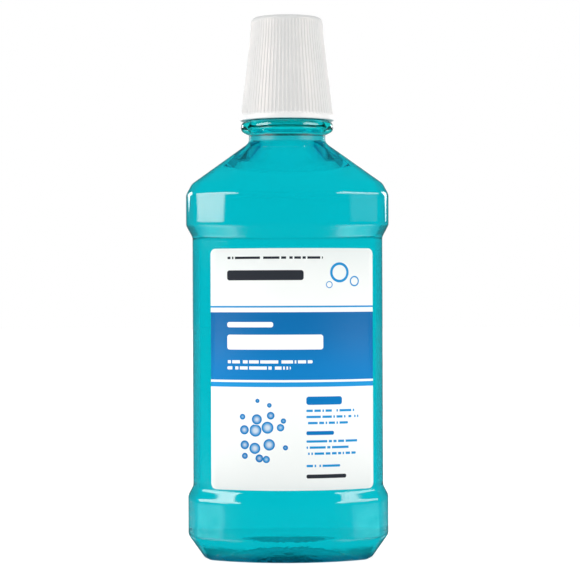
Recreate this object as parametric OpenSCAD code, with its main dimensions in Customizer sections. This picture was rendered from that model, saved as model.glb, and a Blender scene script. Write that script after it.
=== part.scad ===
// Mouthwash bottle, one litre: a clear blown bottle, full, with two labels and a ribbed dosing cap.
// Millimetres. +Z is up, the bottle stands on z = 0 with its axis on Z, and the front label faces -Y.

/* [Body] */
// Width across the upper bumper, between the crowns of the two side faces
body_w = 96; // [91:0.5:102]
// Depth across the upper bumper, between the crowns of the front and back faces
body_d = 80; // [74:0.5:88]
// Plan radius of the curved front and back faces
front_r = 67; // [61:1:84]
// How far a side face bows outwards between its two corners
side_bow = 4.7; // [3.4:0.1:6.4]
// Plan radius of the four upright corners
corner_r = 6; // [4.5:0.25:7.5]
// Thickness of the blown wall
wall_t = 0.6; // [0.45:0.05:0.8]
// Height of the heel that tapers in to the base
heel_h = 10.6; // [8:0.2:14]
// How far the heel tapers in
heel_taper = 8; // [6:0.25:10]
// Height of the lower bumper
lower_bumper_h = 17; // [13:0.5:21]
// How much further in the lower bumper lies than the upper one
lower_bumper_inset = 0.6; // [0:0.1:1.2]
// Height of the chamfer below the label panel
lower_chamfer_h = 4.7; // [3.5:0.1:6]
// Height of the label panel
panel_h = 117; // [95:1:135]
// How far the label panel lies in from the upper bumper
panel_recess = 3; // [2:0.1:3.6]
// Height of the chamfer above the label panel
upper_chamfer_h = 5.5; // [4:0.1:7]
// Height of the upper bumper
upper_bumper_h = 15.6; // [12:0.2:20]
// How much higher the panel's chamfers run at the sides than at the front
chamfer_sweep = 1.3; // [0:0.1:2]
// Height of the sloping shoulder
shoulder_h = 24.2; // [20:0.2:30]
// Height of the rounded edge where a side face turns into the shoulder
shoulder_edge_h = 5.2; // [4:0.2:7]
// How far that edge has turned in at its top
shoulder_edge_in = 2.7; // [1.5:0.1:3.5]
// Length that the rounding of a crease takes from each of its two faces
crease_cut = 1; // [0.5:0.1:1.1]

/* [Base] */
// Width of the flat ring that the bottle stands on
stand_w = 3.4; // [2.6:0.2:5]
// Height of the domed push-up in the base
push_up_h = 9.5; // [6:0.5:13]
// Radius of the round top of the push-up
push_up_r = 6; // [4:0.5:9]

/* [Neck] */
// Diameter of the finish's wall between the threads
finish_d = 35.2; // [32:0.1:39]
// Height of the threaded finish, from the collar to the lip
finish_h = 14.5; // [13.5:0.1:17]
// Wall of the finish, from its outside to the mouth's bore
finish_wall_t = 1.85; // [1.6:0.05:2.3]
// How far the neck's waist stands out from the finish
waist_step = 0.7; // [0.4:0.1:2]
// Height of the waist, from the top of the shoulder to the collar
waist_h = 4.4; // [3.4:0.2:7]
// How far the collar stands out from the finish
collar_step = 4.35; // [3.4:0.05:4.5]
// Height of the collar
collar_h = 6.1; // [4.5:0.1:8]

/* [Thread] */
// Height that the bottle's thread stands out of its wall
thread_depth = 1.15; // [0.9:0.05:1.3]
// Rise of the thread in one turn
thread_pitch = 4.23; // [3.9:0.01:4.6]
// Length of the thread, in turns
thread_turns = 1.25; // [1:0.05:1.4]
// Width of the thread at its foot
thread_foot_w = 2.3; // [1.9:0.1:2.5]
// Width of the thread at its crest
thread_crest_w = 1; // [0.7:0.1:1.2]
// Distance from the lip down to the middle of the thread's upper end
thread_drop = 2.6; // [2.2:0.1:3.2]
// Radial clearance between the cap's thread and the bottle's
thread_gap = 0.37; // [0.3:0.01:0.45]
// Free height between the flanks of the two threads, beyond their own widths
thread_play = 0.1; // [0:0.05:0.3]

/* [Cap shell] */
// Height of the cap
cap_h = 49.2; // [47.5:0.1:56]
// Free height between the collar and the cap's lower edge
cap_gap = 0.3; // [0.2:0.05:0.6]
// Wall of the plain ring at the cap's lower edge, round the thread's bore
cap_ring_t = 3.08; // [2.9:0.02:4.2]
// Height of the plain ring
cap_ring_h = 3.9; // [2.5:0.1:5]
// Wall of the skirt just above the plain ring, over the ribs
skirt_t = 2.43; // [2.2:0.01:2.8]
// Wall of the skirt at its upper bend, over the ribs and beyond the end of the cup's room
skirt_bend_t = 1.95; // [1.7:0.05:2.8]
// Distance from the cap's top down to the skirt's upper bend
skirt_bend_drop = 9.6; // [8:0.1:14]
// Wall of the skirt at the upper ends of the ribs, over the ribs
skirt_top_t = 1.55; // [1.4:0.05:1.9]
// Thickness of the cap's top in its middle
cap_roof_t = 2.65; // [1.6:0.05:3.4]
// Radius of the rounded edge of the cap's top
cap_edge_r = 2.9; // [2:0.1:3.2]
// How far the cap's top domes up over its edge
cap_dome_h = 0.5; // [0.2:0.1:1]
// Number of grip ribs
rib_count = 72; // [48:1:80]
// Height of a rib
rib_depth = 0.35; // [0.2:0.05:0.5]

/* [Dosing cup] */
// Wall of the cup
cup_wall = 0.9; // [0.6:0.05:1.2]
// How far the inside of the cup's mouth stands in from the bottle's bore
cup_step = 0.25; // [0:0.05:0.5]
// How far the cup narrows from its mouth to its closed end
cup_taper = 1.4; // [0.8:0.1:2]
// Thickness of the flange at the cup's mouth
flange_t = 1.2; // [0.9:0.1:1.6]
// How far the flange reaches out over the finish's wall
flange_over = 0.1; // [-0.05:0.05:0.2]
// Free space between the cup and the cap's shell
cup_gap = 0.45; // [0.3:0.05:0.6]

/* [Seal ring] */
// Thickness of the foam ring on the lip
seal_t = 1.2; // [0.8:0.1:1.8]
// How far the foam ring keeps in from the lip's two edges
seal_margin = 0.4; // [0.2:0.05:0.6]

/* [Labels] */
// Free panel above a label
label_top_margin = 4.7; // [3:0.1:20]
// Free panel below a label, over the rounding of the panel's lower crease
label_bottom_margin = 0.3; // [0.3:0.1:10]
// Free panel beside a label that sits in the middle, measured straight across
label_side_margin = 2.5; // [2:0.1:12]
// How far the front label sits off the middle, to the right along its face
front_label_shift = 2.4; // [-2.5:0.1:2.5]
// Width of the back label as a share of the front label's
back_label_share = 0.72; // [0.5:0.01:1]
// Corner radius of a label
label_corner_r = 2.6; // [1:0.1:6]
// Thickness of a label
label_t = 0.12; // [0.08:0.01:0.2]

/* [Mouthwash] */
// How far below the lip the liquid ends
fill_drop = 16.6; // [14.5:0.2:21]

/* [Hidden] */

// Fineness of the round pieces, and the number of points on one quarter of the body's outline
$fn = 96;
side_steps = 4;
corner_steps = 3;
front_steps = 9;
quarter = side_steps + corner_steps + front_steps;
push_up_steps = 5;
thread_steps = 36;

// Small clearances between a label and its panel, the liquid and its wall, and faces that only touch
label_gap = 0.05;
liquid_gap = 0.05;
seat_gap = 0.05;
cut_over = 1;

// Plan outline: two front arcs, two side arcs and four corners
half_w = body_w / 2;
half_d = body_d / 2;
edge_x = half_w - side_bow;
front_centre = half_d - front_r;
edge_y = front_centre + sqrt(front_r * front_r - edge_x * edge_x);
side_r = (edge_y * edge_y + side_bow * side_bow) / (2 * side_bow);
side_centre = half_w - side_r;
centres_apart = norm([front_centre, side_centre]);
panel_corner_r = corner_r - panel_recess / 2;

// Most of a face that the rounding of one crease may take
crease_limit_share = 0.4;

// Heights, from the base up
heel_top = heel_h;
lower_bumper_top = heel_top + lower_bumper_h;
panel_bottom = lower_bumper_top + lower_chamfer_h;
panel_top = panel_bottom + panel_h;
upper_bumper_bottom = panel_top + upper_chamfer_h;
upper_bumper_top = upper_bumper_bottom + upper_bumper_h;
shoulder_edge_top = upper_bumper_top + shoulder_edge_h;
shoulder_top = upper_bumper_top + shoulder_h;
collar_bottom = shoulder_top + waist_h;
collar_top = collar_bottom + collar_h;
lip_z = collar_top + finish_h;
fill_z = lip_z - fill_drop;

// Neck radii, and the fillet at the neck's root, which ends inside the neck's wall
finish_r = finish_d / 2;
bore_r = finish_r - finish_wall_t;
neck_r = finish_r + waist_step;
collar_r = finish_r + collar_step;
root_fillet = 0.7;
root_fillet_h = 2;
root_overlap = 0.2;
neck_root_r = neck_r + root_fillet;
neck_foot = shoulder_top - root_fillet;
root_step = 0.25;

// Outline of the collar, as shares of its width beyond the neck and of its height
collar_shares = [[0.62, 0.14], [0.93, 0.32], [1, 0.5], [0.91, 0.78], [0.67, 0.94], [0.45, 1]];
lip_round = 0.4;

// How far the shoulder has turned from the body's outline to the neck's circle at the edge's top
edge_side_share = shoulder_edge_in / (half_w - neck_root_r);
edge_front_share = shoulder_edge_h / shoulder_h;

// Threads
thread_rise = thread_pitch * thread_turns;
thread_top = lip_z - thread_drop;
thread_bottom = thread_top - thread_rise;
thread_sink = 0.4;
thread_run_out = 4;
thread_end_share = 0.1;
thread_r = finish_r + thread_depth;
cap_bore_r = thread_r + thread_gap;
cap_thread_r = finish_r + thread_gap;
cap_thread_drop = (thread_foot_w + thread_crest_w) / 2 + thread_play;

// Seal, cup and cap, from the lip up
seal_bottom = lip_z + seat_gap;
flange_bottom = seal_bottom + seal_t + seat_gap;
flange_top = flange_bottom + flange_t;
flange_r = finish_r + flange_over;
cup_mouth_r = bore_r - cup_step + cup_wall;
cup_end_r = cup_mouth_r - cup_taper;
cap_bottom = collar_top + cap_gap;
cap_top = cap_bottom + cap_h;
chamber_top = cap_top - cap_roof_t;
cup_top = chamber_top - cup_gap;
snap_play = 0.15;
snap_grip = 0.2;
snap_h = 0.7;
snap_r = flange_r - snap_grip;
flange_bore_r = flange_r + snap_play;
chamber_bottom = flange_top + seat_gap;
chamber_end_r = cup_end_r + cup_gap;
lead_in = 0.5;

// Cap shell outline, at the floor of the grooves
cap_ring_r = cap_bore_r + cap_ring_t;
ring_round = 0.5;
ring_top = cap_bottom + cap_ring_h;
bend_z = cap_top - skirt_bend_drop;
cap_edge_top = cap_top - cap_dome_h;
cap_edge_bottom = cap_edge_top - cap_edge_r;
skirt_r = cap_bore_r + skirt_t - rib_depth;
bend_r = chamber_end_r + skirt_bend_t - rib_depth;
top_r = chamber_end_r + skirt_top_t - rib_depth;
edge_steps = 6;
rib_end_drop = 1.2;
rib_fade_h = 1.6;
rib_sink = 0.5;
rib_root = 0.8;
groove_skin = 0.06;
groove_share = 0.34;
flank_share = 0.2;

// Labels
label_r = front_r - panel_recess + label_gap;
label_half_w = panel_arc_x() - label_side_margin;
label_crease_rise = chamfer_sweep * pow(label_half_w / half_w, 2) + crease_cut / 2;
label_bottom = panel_bottom + label_crease_rise + label_bottom_margin;
label_top = panel_top - label_top_margin;
front_label_turn = 180 * front_label_shift / (PI * label_r);

function mix(a, b, share) = a + (b - a) * share;

// Centre of an upright corner in the first quarter, for an outline set in by inset
function corner_centre(inset, corner) =
    let (
        from_front = front_r - inset - corner,
        from_side = side_r - inset - corner,
        along = (from_front * from_front - from_side * from_side + centres_apart * centres_apart)
            / (2 * centres_apart),
        across = sqrt(from_front * from_front - along * along),
        way = [side_centre, -front_centre] / centres_apart
    )
    [0, front_centre] + along * way + across * [way.y, -way.x];

// Half the straight width of the panel's front arc
function panel_arc_x() =
    let (c = corner_centre(panel_recess, panel_corner_r))
    (front_r - panel_recess) * c.x / norm(c - [0, front_centre]);

function arc_point(centre, r, angle) = centre + r * [cos(angle), sin(angle)];

// One quarter of the outline, from the crown of the +X side to the crown of the +Y face
function quarter_outline(inset, corner) =
    let (
        c = corner_centre(inset, corner),
        side_end = atan2(c.y, c.x - side_centre),
        front_end = atan2(c.y - front_centre, c.x)
    )
    [
        for (i = [0 : side_steps])
            arc_point([side_centre, 0], side_r - inset, side_end * i / side_steps),
        for (i = [1 : corner_steps])
            arc_point(c, corner, mix(side_end, front_end, i / corner_steps)),
        for (i = [1 : front_steps])
            arc_point([0, front_centre], front_r - inset, mix(front_end, 90, i / front_steps))
    ];

function outline(inset, corner) =
    let (q = quarter_outline(inset, corner))
    [
        for (i = [0 : quarter - 1]) q[i],
        for (i = [quarter : -1 : 1]) [-q[i].x, q[i].y],
        for (i = [0 : quarter - 1]) -q[i],
        for (i = [quarter : -1 : 1]) [q[i].x, -q[i].y]
    ];

// A station is [height, inset, corner radius, share turned to a circle at the sides, the same at the
// front, sweep], and a ring is its outline in space. The circle has radius r.
function ring(s, r) = [
    for (p = outline(s[1], s[2]))
        let (
            sideways = pow(p.x / half_w, 2),
            round_share = mix(s[4], s[3], sideways),
            flat = mix(p, r * p / norm(p), round_share)
        )
        [flat.x, flat.y, s[0] + s[5] * sideways]
];

function circle_ring(r, z) = [
    for (p = outline(0, corner_r))
        [r * p.x / norm(p), r * p.y / norm(p), z]
];

// Stations of the body from the standing ring to the neck's root, set in by extra
function body_stations(extra) = [
    [extra, heel_taper + extra, corner_r, 0, 0, 0],
    [heel_top, lower_bumper_inset + extra, corner_r, 0, 0, 0],
    [lower_bumper_top, lower_bumper_inset + extra, corner_r, 0, 0, chamfer_sweep],
    [panel_bottom, panel_recess + extra, panel_corner_r, 0, 0, chamfer_sweep],
    [panel_top, panel_recess + extra, panel_corner_r, 0, 0, chamfer_sweep],
    [upper_bumper_bottom, extra, corner_r, 0, 0, chamfer_sweep],
    [upper_bumper_top, extra, corner_r, 0, 0, 0],
    [shoulder_edge_top, extra, corner_r, edge_side_share, edge_front_share, 0]
];

// Length between two stations, seen from the front
function station_gap(a, b) =
    norm([a[0] - b[0], a[1] - b[1] + (a[3] - b[3]) * (half_w - neck_root_r)]);

function toward(a, b, length) = mix(a, b, min(length / station_gap(a, b), crease_limit_share));

// Each inner station becomes three, which round its crease
function rounded(list) = [
    list[0],
    for (i = [1 : len(list) - 2])
        let (
            a = toward(list[i], list[i - 1], crease_cut),
            b = toward(list[i], list[i + 1], crease_cut)
        )
        each [a, (a + 2 * list[i] + b) / 4, b],
    list[len(list) - 1]
];

// The standing ring's two edges, and the push-up from its centre out to the ring
function stand_station(extra) =
    [extra, heel_taper + stand_w, corner_r, 0, 0, 0];

function push_up_rings(extra) = [
    for (i = [push_up_steps : -1 : 1])
        let (share = i / push_up_steps)
        ring(
            [extra + push_up_h * sin(90 * share), heel_taper + stand_w, corner_r, share, share, 0],
            push_up_r
        )
];

// The two skins of the body, each from the base's centre to the neck
function outer_rings() =
    let (
        stations = body_stations(0),
        heel_edge = toward(stations[0], stations[1], crease_cut),
        foot = stations[0] + [0, crease_cut, 0, 0, 0, 0],
        heel = [foot, (foot + 2 * stations[0] + heel_edge) / 4, heel_edge],
        neck_root = [shoulder_top, 0, corner_r, 1, 1, 0],
        walls = rounded([heel_edge, for (i = [1 : len(stations) - 1]) stations[i], neck_root])
    )
    concat(
        push_up_rings(0),
        [ring(stand_station(0), push_up_r)],
        [for (s = heel) ring(s, neck_root_r)],
        [for (i = [1 : len(walls) - 1]) ring(walls[i], neck_root_r)],
        [
            circle_ring(neck_r + root_fillet / 4, shoulder_top + root_fillet_h / 2),
            circle_ring(neck_r - root_overlap, shoulder_top + root_fillet_h)
        ]
    );

function inner_rings(extra) = concat(
    push_up_rings(extra),
    [ring(stand_station(extra), push_up_r)],
    [for (s = body_stations(extra)) ring(s, neck_root_r)]
);

// Faces between rings that follow one another, with a point closing each end. Crossed faces are split
// along their other diagonal, so that the liquid's skin lies along the wall's inner skin, whose rings
// run the other way.
function band_faces(first, n, flip = false, crossed = false) = [
    for (i = [0 : n - 1])
        let (
            a = first + i,
            b = first + (i + 1) % n,
            c = b + n,
            d = a + n
        )
        each flip ? [[a, b, c], [a, c, d]] : crossed ? [[a, d, b], [d, c, b]] : [[a, d, c], [a, c, b]]
];

function fan_faces(centre, first, n, up) = [
    for (i = [0 : n - 1])
        let (
            a = first + i,
            b = first + (i + 1) % n
        )
        up ? [centre, b, a] : [centre, a, b]
];

// A solid through a list of rings, closed at both ends by a point
module lofted(rings, start, end, crossed = false) {
    n = len(rings[0]);
    count = len(rings);
    polyhedron(
        points = concat([for (r = rings) each r], [start, end]),
        faces = concat(
            [for (k = [0 : count - 2]) each band_faces(k * n, n, crossed = crossed)],
            fan_faces(n * count, 0, n, false),
            fan_faces(n * count + 1, n * (count - 1), n, true)
        ),
        convexity = 10
    );
}

// A trapezoid thread wound on a wall of radius wall_r, with its crest at crest_r and its ends run out.
// It starts at angle 0 at height bottom, and its foot is sunk into the wall.
function thread_ring(i, count, foot_r, crest_r, bottom) =
    let (
        angle = 360 * thread_turns * i / count,
        z = bottom + thread_rise * i / count,
        height_share = max(thread_end_share, min(1, i / thread_run_out, (count - i) / thread_run_out)),
        r = mix(foot_r, crest_r, height_share),
        foot = thread_foot_w / 2,
        crest = thread_crest_w / 2
    )
    [
        for (p = [[foot_r, -foot], [r, -crest], [r, crest], [foot_r, foot]])
            [p[0] * cos(angle), p[0] * sin(angle), z + p[1]]
    ];

module thread(wall_r, crest_r, bottom) {
    count = ceil(thread_turns * thread_steps);
    inward = crest_r < wall_r;
    foot_r = inward ? wall_r + thread_sink : wall_r - thread_sink;
    last = 4 * count;
    front = [[0, 1, 2], [0, 2, 3]];
    back = [[last, last + 2, last + 1], [last, last + 3, last + 2]];
    polyhedron(
        points = [for (i = [0 : count]) each thread_ring(i, count, foot_r, crest_r, bottom)],
        faces = concat(
            [for (k = [0 : count - 1]) each band_faces(4 * k, 4, !inward)],
            [for (f = concat(front, back)) inward ? f : [f[2], f[1], f[0]]]
        ),
        convexity = 6
    );
}

// Outline of half the neck, from its foot inside the shoulder up to the lip
module neck_profile() {
    collar_out = collar_r - neck_r;
    polygon([
        [bore_r, neck_foot],
        [neck_r, neck_foot],
        [neck_r, collar_bottom],
        for (share = collar_shares)
            [neck_r + collar_out * share.x, collar_bottom + collar_h * share.y],
        [finish_r, collar_top],
        [finish_r, lip_z - lip_round],
        [finish_r - lip_round, lip_z],
        [bore_r + lip_round, lip_z],
        [bore_r, lip_z - lip_round]
    ]);
}

module bottle_body() {
    top = shoulder_top + root_fillet_h;
    inner = concat(
        inner_rings(wall_t),
        [circle_ring(bore_r + root_step, shoulder_top - wall_t), circle_ring(bore_r + root_step, top)]
    );
    lofted(
        concat(outer_rings(), [for (i = [len(inner) - 1 : -1 : 0]) inner[i]]),
        [0, 0, push_up_h],
        [0, 0, push_up_h + wall_t]
    );
}

module bottle() {
    color([0.93, 0.98, 0.99, 0.35])
    union() {
        bottle_body();
        rotate_extrude() neck_profile();
        thread(finish_r, thread_r, thread_bottom);
    }
}

module mouthwash() {
    skin = wall_t + liquid_gap;
    color([0, 0.725, 0.776])
    lofted(
        concat(
            inner_rings(skin),
            [
                circle_ring(bore_r - liquid_gap, neck_foot - liquid_gap),
                circle_ring(bore_r - liquid_gap, fill_z)
            ]
        ),
        [0, 0, push_up_h + skin],
        [0, 0, fill_z],
        crossed = true
    );
}

// A flat rounded rectangle, from -half to half across and from bottom to top
module rounded_panel(half, bottom, top, r) {
    translate([-half + r, bottom]) square([2 * (half - r), top - bottom]);
    translate([-half, bottom + r]) square([2 * half, top - bottom - 2 * r]);
    for (x = [-half + r, half - r], y = [bottom + r, top - r])
        translate([x, y]) circle(r);
}

// A label bent round the front face, from -half to half across
module label_sheet(half) {
    intersection() {
        rotate([90, 0, 0])
            linear_extrude(body_d)
                rounded_panel(half, label_bottom, label_top, label_corner_r);
        translate([0, -front_centre, label_bottom - cut_over])
            difference() {
                cylinder(r = label_r + label_t, h = label_top - label_bottom + 2 * cut_over);
                translate([0, 0, -cut_over])
                    cylinder(r = label_r, h = label_top - label_bottom + 4 * cut_over);
            }
    }
}

module front_label() {
    color([0.976, 0.992, 0.98])
    translate([0, -front_centre])
        rotate([0, 0, front_label_turn])
            translate([0, front_centre])
                label_sheet(label_half_w);
}

module back_label() {
    color([0.976, 0.992, 0.98]) rotate([0, 0, 180]) label_sheet(label_half_w * back_label_share);
}

module seal_ring() {
    color([0.93, 0.93, 0.9])
    translate([0, 0, seal_bottom])
        difference() {
            cylinder(r = finish_r - seal_margin, h = seal_t);
            translate([0, 0, -cut_over])
                cylinder(r = bore_r + seal_margin, h = seal_t + 2 * cut_over);
        }
}

module dosing_cup() {
    color([0.95, 0.96, 0.96])
    rotate_extrude()
        polygon([
            [cup_mouth_r - cup_wall, flange_bottom],
            [flange_r, flange_bottom],
            [flange_r, flange_top],
            [cup_mouth_r, flange_top],
            [cup_end_r, cup_top - cup_wall],
            [cup_end_r - cup_wall, cup_top],
            [0, cup_top],
            [0, cup_top - cup_wall],
            [cup_end_r - cup_wall, cup_top - cup_wall]
        ]);
}

// Outline of half the cap's shell, with grooves' floor as its outside
module cap_profile() {
    edge_r = top_r - cap_edge_r;
    polygon([
        [cap_bore_r + lead_in, cap_bottom],
        [cap_ring_r - ring_round, cap_bottom],
        [cap_ring_r, cap_bottom + ring_round],
        [cap_ring_r, ring_top - ring_round],
        [cap_ring_r - ring_round, ring_top],
        [skirt_r, ring_top],
        [bend_r, bend_z],
        [top_r, cap_edge_bottom],
        for (i = [1 : edge_steps])
            arc_point([edge_r, cap_edge_bottom], cap_edge_r, 90 * i / edge_steps),
        [edge_r / 2, cap_top - cap_dome_h / 4],
        [0, cap_top],
        [0, chamber_top],
        [chamber_end_r, chamber_top],
        [cup_mouth_r + cup_gap, chamber_bottom],
        [flange_bore_r, chamber_bottom],
        [flange_bore_r, flange_bottom],
        [snap_r, flange_bottom - seat_gap],
        [snap_r, flange_bottom - snap_h],
        [cap_bore_r, lip_z - lip_round],
        [cap_bore_r, cap_bottom + lead_in]
    ]);
}

// Radius of the grooves' floor at height z
function groove_r(z) =
    z < bend_z
    ? mix(skirt_r, bend_r, (z - ring_top) / (bend_z - ring_top))
    : mix(bend_r, top_r, (z - bend_z) / (cap_edge_bottom - bend_z));

// One ring of the ribbed sleeve: each rib is a groove, a flank, a crest and a flank
function rib_ring(floor_r, crest_r, z) = [
    for (i = [0 : rib_count - 1])
        let (pitch = 360 / rib_count, start = pitch * i)
        each [
            [floor_r * cos(start), floor_r * sin(start), z],
            [floor_r * cos(start + pitch * groove_share), floor_r * sin(start + pitch * groove_share), z],
            [
                crest_r * cos(start + pitch * (groove_share + flank_share)),
                crest_r * sin(start + pitch * (groove_share + flank_share)),
                z
            ],
            [
                crest_r * cos(start + pitch * (1 - flank_share)),
                crest_r * sin(start + pitch * (1 - flank_share)),
                z
            ]
        ]
];

// The grip ribs, as one sleeve whose inside is sunk into the skirt
module grip_ribs() {
    low = ring_top - rib_sink;
    high = cap_edge_bottom - rib_end_drop;
    top = high + rib_fade_h;
    n = 4 * rib_count;
    heights = [low, bend_z, high];
    outer = [
        for (z = heights)
            rib_ring(groove_r(z) + groove_skin, groove_r(z) + rib_depth, z)
    ];
    faded = rib_ring(top_r - rib_sink, top_r - rib_sink, top);
    inner = [
        for (z = [high, bend_z, low])
            rib_ring(groove_r(z) - rib_root, groove_r(z) - rib_root, z)
    ];
    rings = concat(outer, [faded], inner);
    count = len(rings);
    polyhedron(
        points = [for (r = rings) each r],
        faces = [
            for (k = [0 : count - 1], i = [0 : n - 1])
                let (
                    a = k * n + i,
                    b = k * n + (i + 1) % n,
                    d = ((k + 1) % count) * n + i,
                    c = ((k + 1) % count) * n + (i + 1) % n
                )
                each [[a, d, c], [a, c, b]]
        ],
        convexity = 10
    );
}

module cap_shell() {
    color([0.9, 0.91, 0.91])
    union() {
        rotate_extrude() cap_profile();
        grip_ribs();
        thread(cap_bore_r, cap_thread_r, thread_bottom - cap_thread_drop);
    }
}

bottle();
mouthwash();
front_label();
back_label();
seal_ring();
dosing_cup();
cap_shell();
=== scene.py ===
"""A full one-litre mouthwash bottle with a ribbed dosing cap, dressed over its CAD frame."""

import math

import bpy
import numpy as np
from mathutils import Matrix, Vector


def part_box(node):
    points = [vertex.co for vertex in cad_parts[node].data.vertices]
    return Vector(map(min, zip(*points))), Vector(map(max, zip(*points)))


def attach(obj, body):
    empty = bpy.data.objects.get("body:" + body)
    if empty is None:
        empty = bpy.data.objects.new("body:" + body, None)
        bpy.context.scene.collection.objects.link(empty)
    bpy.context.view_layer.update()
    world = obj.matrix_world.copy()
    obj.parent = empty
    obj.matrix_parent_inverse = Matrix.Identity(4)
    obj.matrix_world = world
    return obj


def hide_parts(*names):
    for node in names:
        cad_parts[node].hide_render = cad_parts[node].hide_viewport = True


bl_info = {
    "name": "Mouthwash bottle",
    "version": (1, 0, 0),
    "blender": (4, 5, 0),
    "location": "3D View > Sidebar > Bottle",
    "description": "Dresses the packed frame of a mouthwash bottle with its looks",
    "category": "Object",
}

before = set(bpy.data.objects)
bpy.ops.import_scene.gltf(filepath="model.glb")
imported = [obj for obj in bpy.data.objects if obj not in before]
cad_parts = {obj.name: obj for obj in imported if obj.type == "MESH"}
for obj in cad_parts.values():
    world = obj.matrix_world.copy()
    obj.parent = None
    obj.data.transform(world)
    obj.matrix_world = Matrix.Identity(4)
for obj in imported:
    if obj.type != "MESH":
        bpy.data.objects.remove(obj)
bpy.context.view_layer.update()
MM = 0.001

# Heights of the frame, in millimetres, from the base up
HEEL_TOP = 10.6
LOWER_BUMPER_TOP = 27.6
PANEL_BOTTOM = 32.3
PANEL_TOP = 149.3
UPPER_BUMPER_BOTTOM = 154.8
UPPER_BUMPER_TOP = 170.4
SHOULDER_EDGE_TOP = 175.6
SHOULDER_TOP = 194.6
COLLAR_BOTTOM = 199.0
COLLAR_TOP = 205.1
LIP_Z = 219.6
FILL_Z = 203.0

# Corner radius of the plan, and how much of the heel is rounded on the inside
CORNER_R = 6.0
HEEL_CUT = 0.6

# How far the shoulder's edge comes in at the sides, and the panel's edges sweep up at the sides
EDGE_IN = 2.7
PANEL_SWEEP = 1.3
BUMPER_HALF_W = 48.0

# The wall bends light so that the liquid seems to fill it, so the liquid keeps just inside the
# bottle's outside
LIQUID_SKIN = 0.2

# Neck and thread
NECK_R = 18.3
BORE_R = 15.75
FINISH_R = 17.6
COLLAR_R = 21.95
NECK_ROOT_R = 19.0
THREAD_PITCH = 4.23
THREAD_TURNS = 1.25
THREAD_DEPTH = 1.15
THREAD_FOOT = 2.3
THREAD_CREST = 1.0
THREAD_BOTTOM = LIP_Z - 2.6 - THREAD_PITCH * THREAD_TURNS
THREAD_RUN_OUT = 0.11
CAP_THREAD_DROP = 1.75
LIP_ROUND = 0.4

# Cap and what it holds
CAP_BORE_R = 19.12
CAP_THREAD_R = 17.97
CAP_BOTTOM = 205.4
CAP_TOP = 254.6
CAP_RING_R = 22.2
CAP_RING_TOP = 207.7
FLARE_TOP = 210.2
SKIRT_R = 21.3
BEND_R = 17.15
BEND_Z = 245.0
TOP_R = 16.75
RIB_DEPTH = 0.25
CAP_EDGE_R = 2.2
CAP_EDGE_BOTTOM = 251.95
CAP_DOME = 0.5
CHAMBER_TOP = 251.95
CHAMBER_BOTTOM = 222.15
CHAMBER_TOP_R = 15.45
CHAMBER_R = 16.85
LEDGE_R = 17.85
SNAP_R = 17.5
SNAP_HEIGHT = 0.7
FLANGE_BOTTOM = 220.9
FLANGE_TOP = 222.1
CUP_MOUTH_R = 16.4
CUP_END_R = 15.0
CUP_WALL = 0.9
CUP_TOP = 251.5

# Fill lines inside the cup, as shares of its depth from its closed end, and how far a line stands out
FILL_LINES = (0.35, 0.6, 0.8)
LINE_DEPTH = 0.22

# A label's distance from the panel, and the steps across it
LABEL_GAP = 0.05
LABEL_STEPS = 90

# Points round the turned pieces, and rows along the two threads
SEAL_AROUND = 120
CUP_AROUND = 144
CAP_AROUND = 180
FINISH_ROWS = 58
BORE_ROWS = 44

# How strongly the clear plastic and the liquid bend light, and how much paler the cap's plain ring is
# painted, as painted light
CLEAR_IOR = 1.5
LIQUID_IOR = 1.23
RING_PAINTED_LIFT = 1.22

# Points of one quarter of the body's outline, for its side, its corner and its front
SIDE_STEPS = 12
CORNER_STEPS = 9
FRONT_STEPS = 23

# A crease: how much of each side of it is rounded, in how many steps, and how near it a ring holds it
CREASE_CUT = 1.0
CREASE_STEPS = 6
SUPPORT = 0.35
PUSH_UP_STEPS = 14

# Heights in metres where the liquid's tone changes, where a painted shade darkens it at the base, and
# where the plastic of the base changes
NECK_TONE = (0.188, 0.196)
BASE_SHADE = (0.0045, 0.0015)
BASE_STREAKS = (0.0135, 0.0115)

# Liquid against plastic hardly mirrors, so this share is left of what it mirrors behind the wall
BEHIND_WALL = 0.1

# Table: how bright it shows to the camera, how much it lights what is above it, and its tone
TABLE_LIFT = 0.9
TABLE_BOUNCE = 0.88
TABLE_TONE = (0.3, 0.3, 0.3)

# Stage: distances of the soft boxes and of the key panels in metres, tint of the front boxes, width
# of a box's soft edge as a share of the panel, and half the table's side in millimetres
BOX_REACH = 1.0
KEY_REACH = 1.5
FRONT_BOX_TINT = (1.0, 0.75, 0.64)
SOFT_EDGE = 0.07
TABLE_HALF = 6000
SENSOR_W = 36
CLIP_END = 30

# Lower and upper edge of the front boxes, of the rim boxes and of the key panels, in metres
BOX_Z = (0.183, 1.15)
RIM_Z = (0.185, 0.48)
KEY_Z = (0.02, 1.9)

# Outline of the soft boxes as the bottle sees them: height in metres, azimuth of the inner and of the
# outer edge in degrees from straight ahead, and level
LEFT_BOX = (
    (0.183, 51.5, 79.5, 0.8),
    (0.25, 48, 81.5, 0.8),
    (0.32, 42, 84, 0.8),
    (0.42, 39, 86, 0.8),
    (0.6, 40, 84, 0.9),
    (0.75, 43.5, 77, 1),
    (0.88, 48, 68.5, 1),
    (0.98, 52, 63, 1),
    (1.1, 57, 57, 1),
)
RIGHT_BOX = tuple((*stop[:3], 0.085 if stop[0] < 0.3 else stop[3]) for stop in LEFT_BOX)
LEFT_RIM = (
    (0.185, 150, 150, 0),
    (0.198, 149, 151, 0.3),
    (0.206, 147, 153, 0.8),
    (0.217, 144, 154.5, 1),
    (0.26, 141, 155.5, 1),
    (0.4, 141, 155, 1),
    (0.47, 148, 148, 0),
)
RIGHT_RIM = ((0.185, 148, 152, 0.45), *LEFT_RIM[2:])


def mix(a, b, share):
    return a + (b - a) * share


# ---------------------------------------------------------------- body outline


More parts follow.
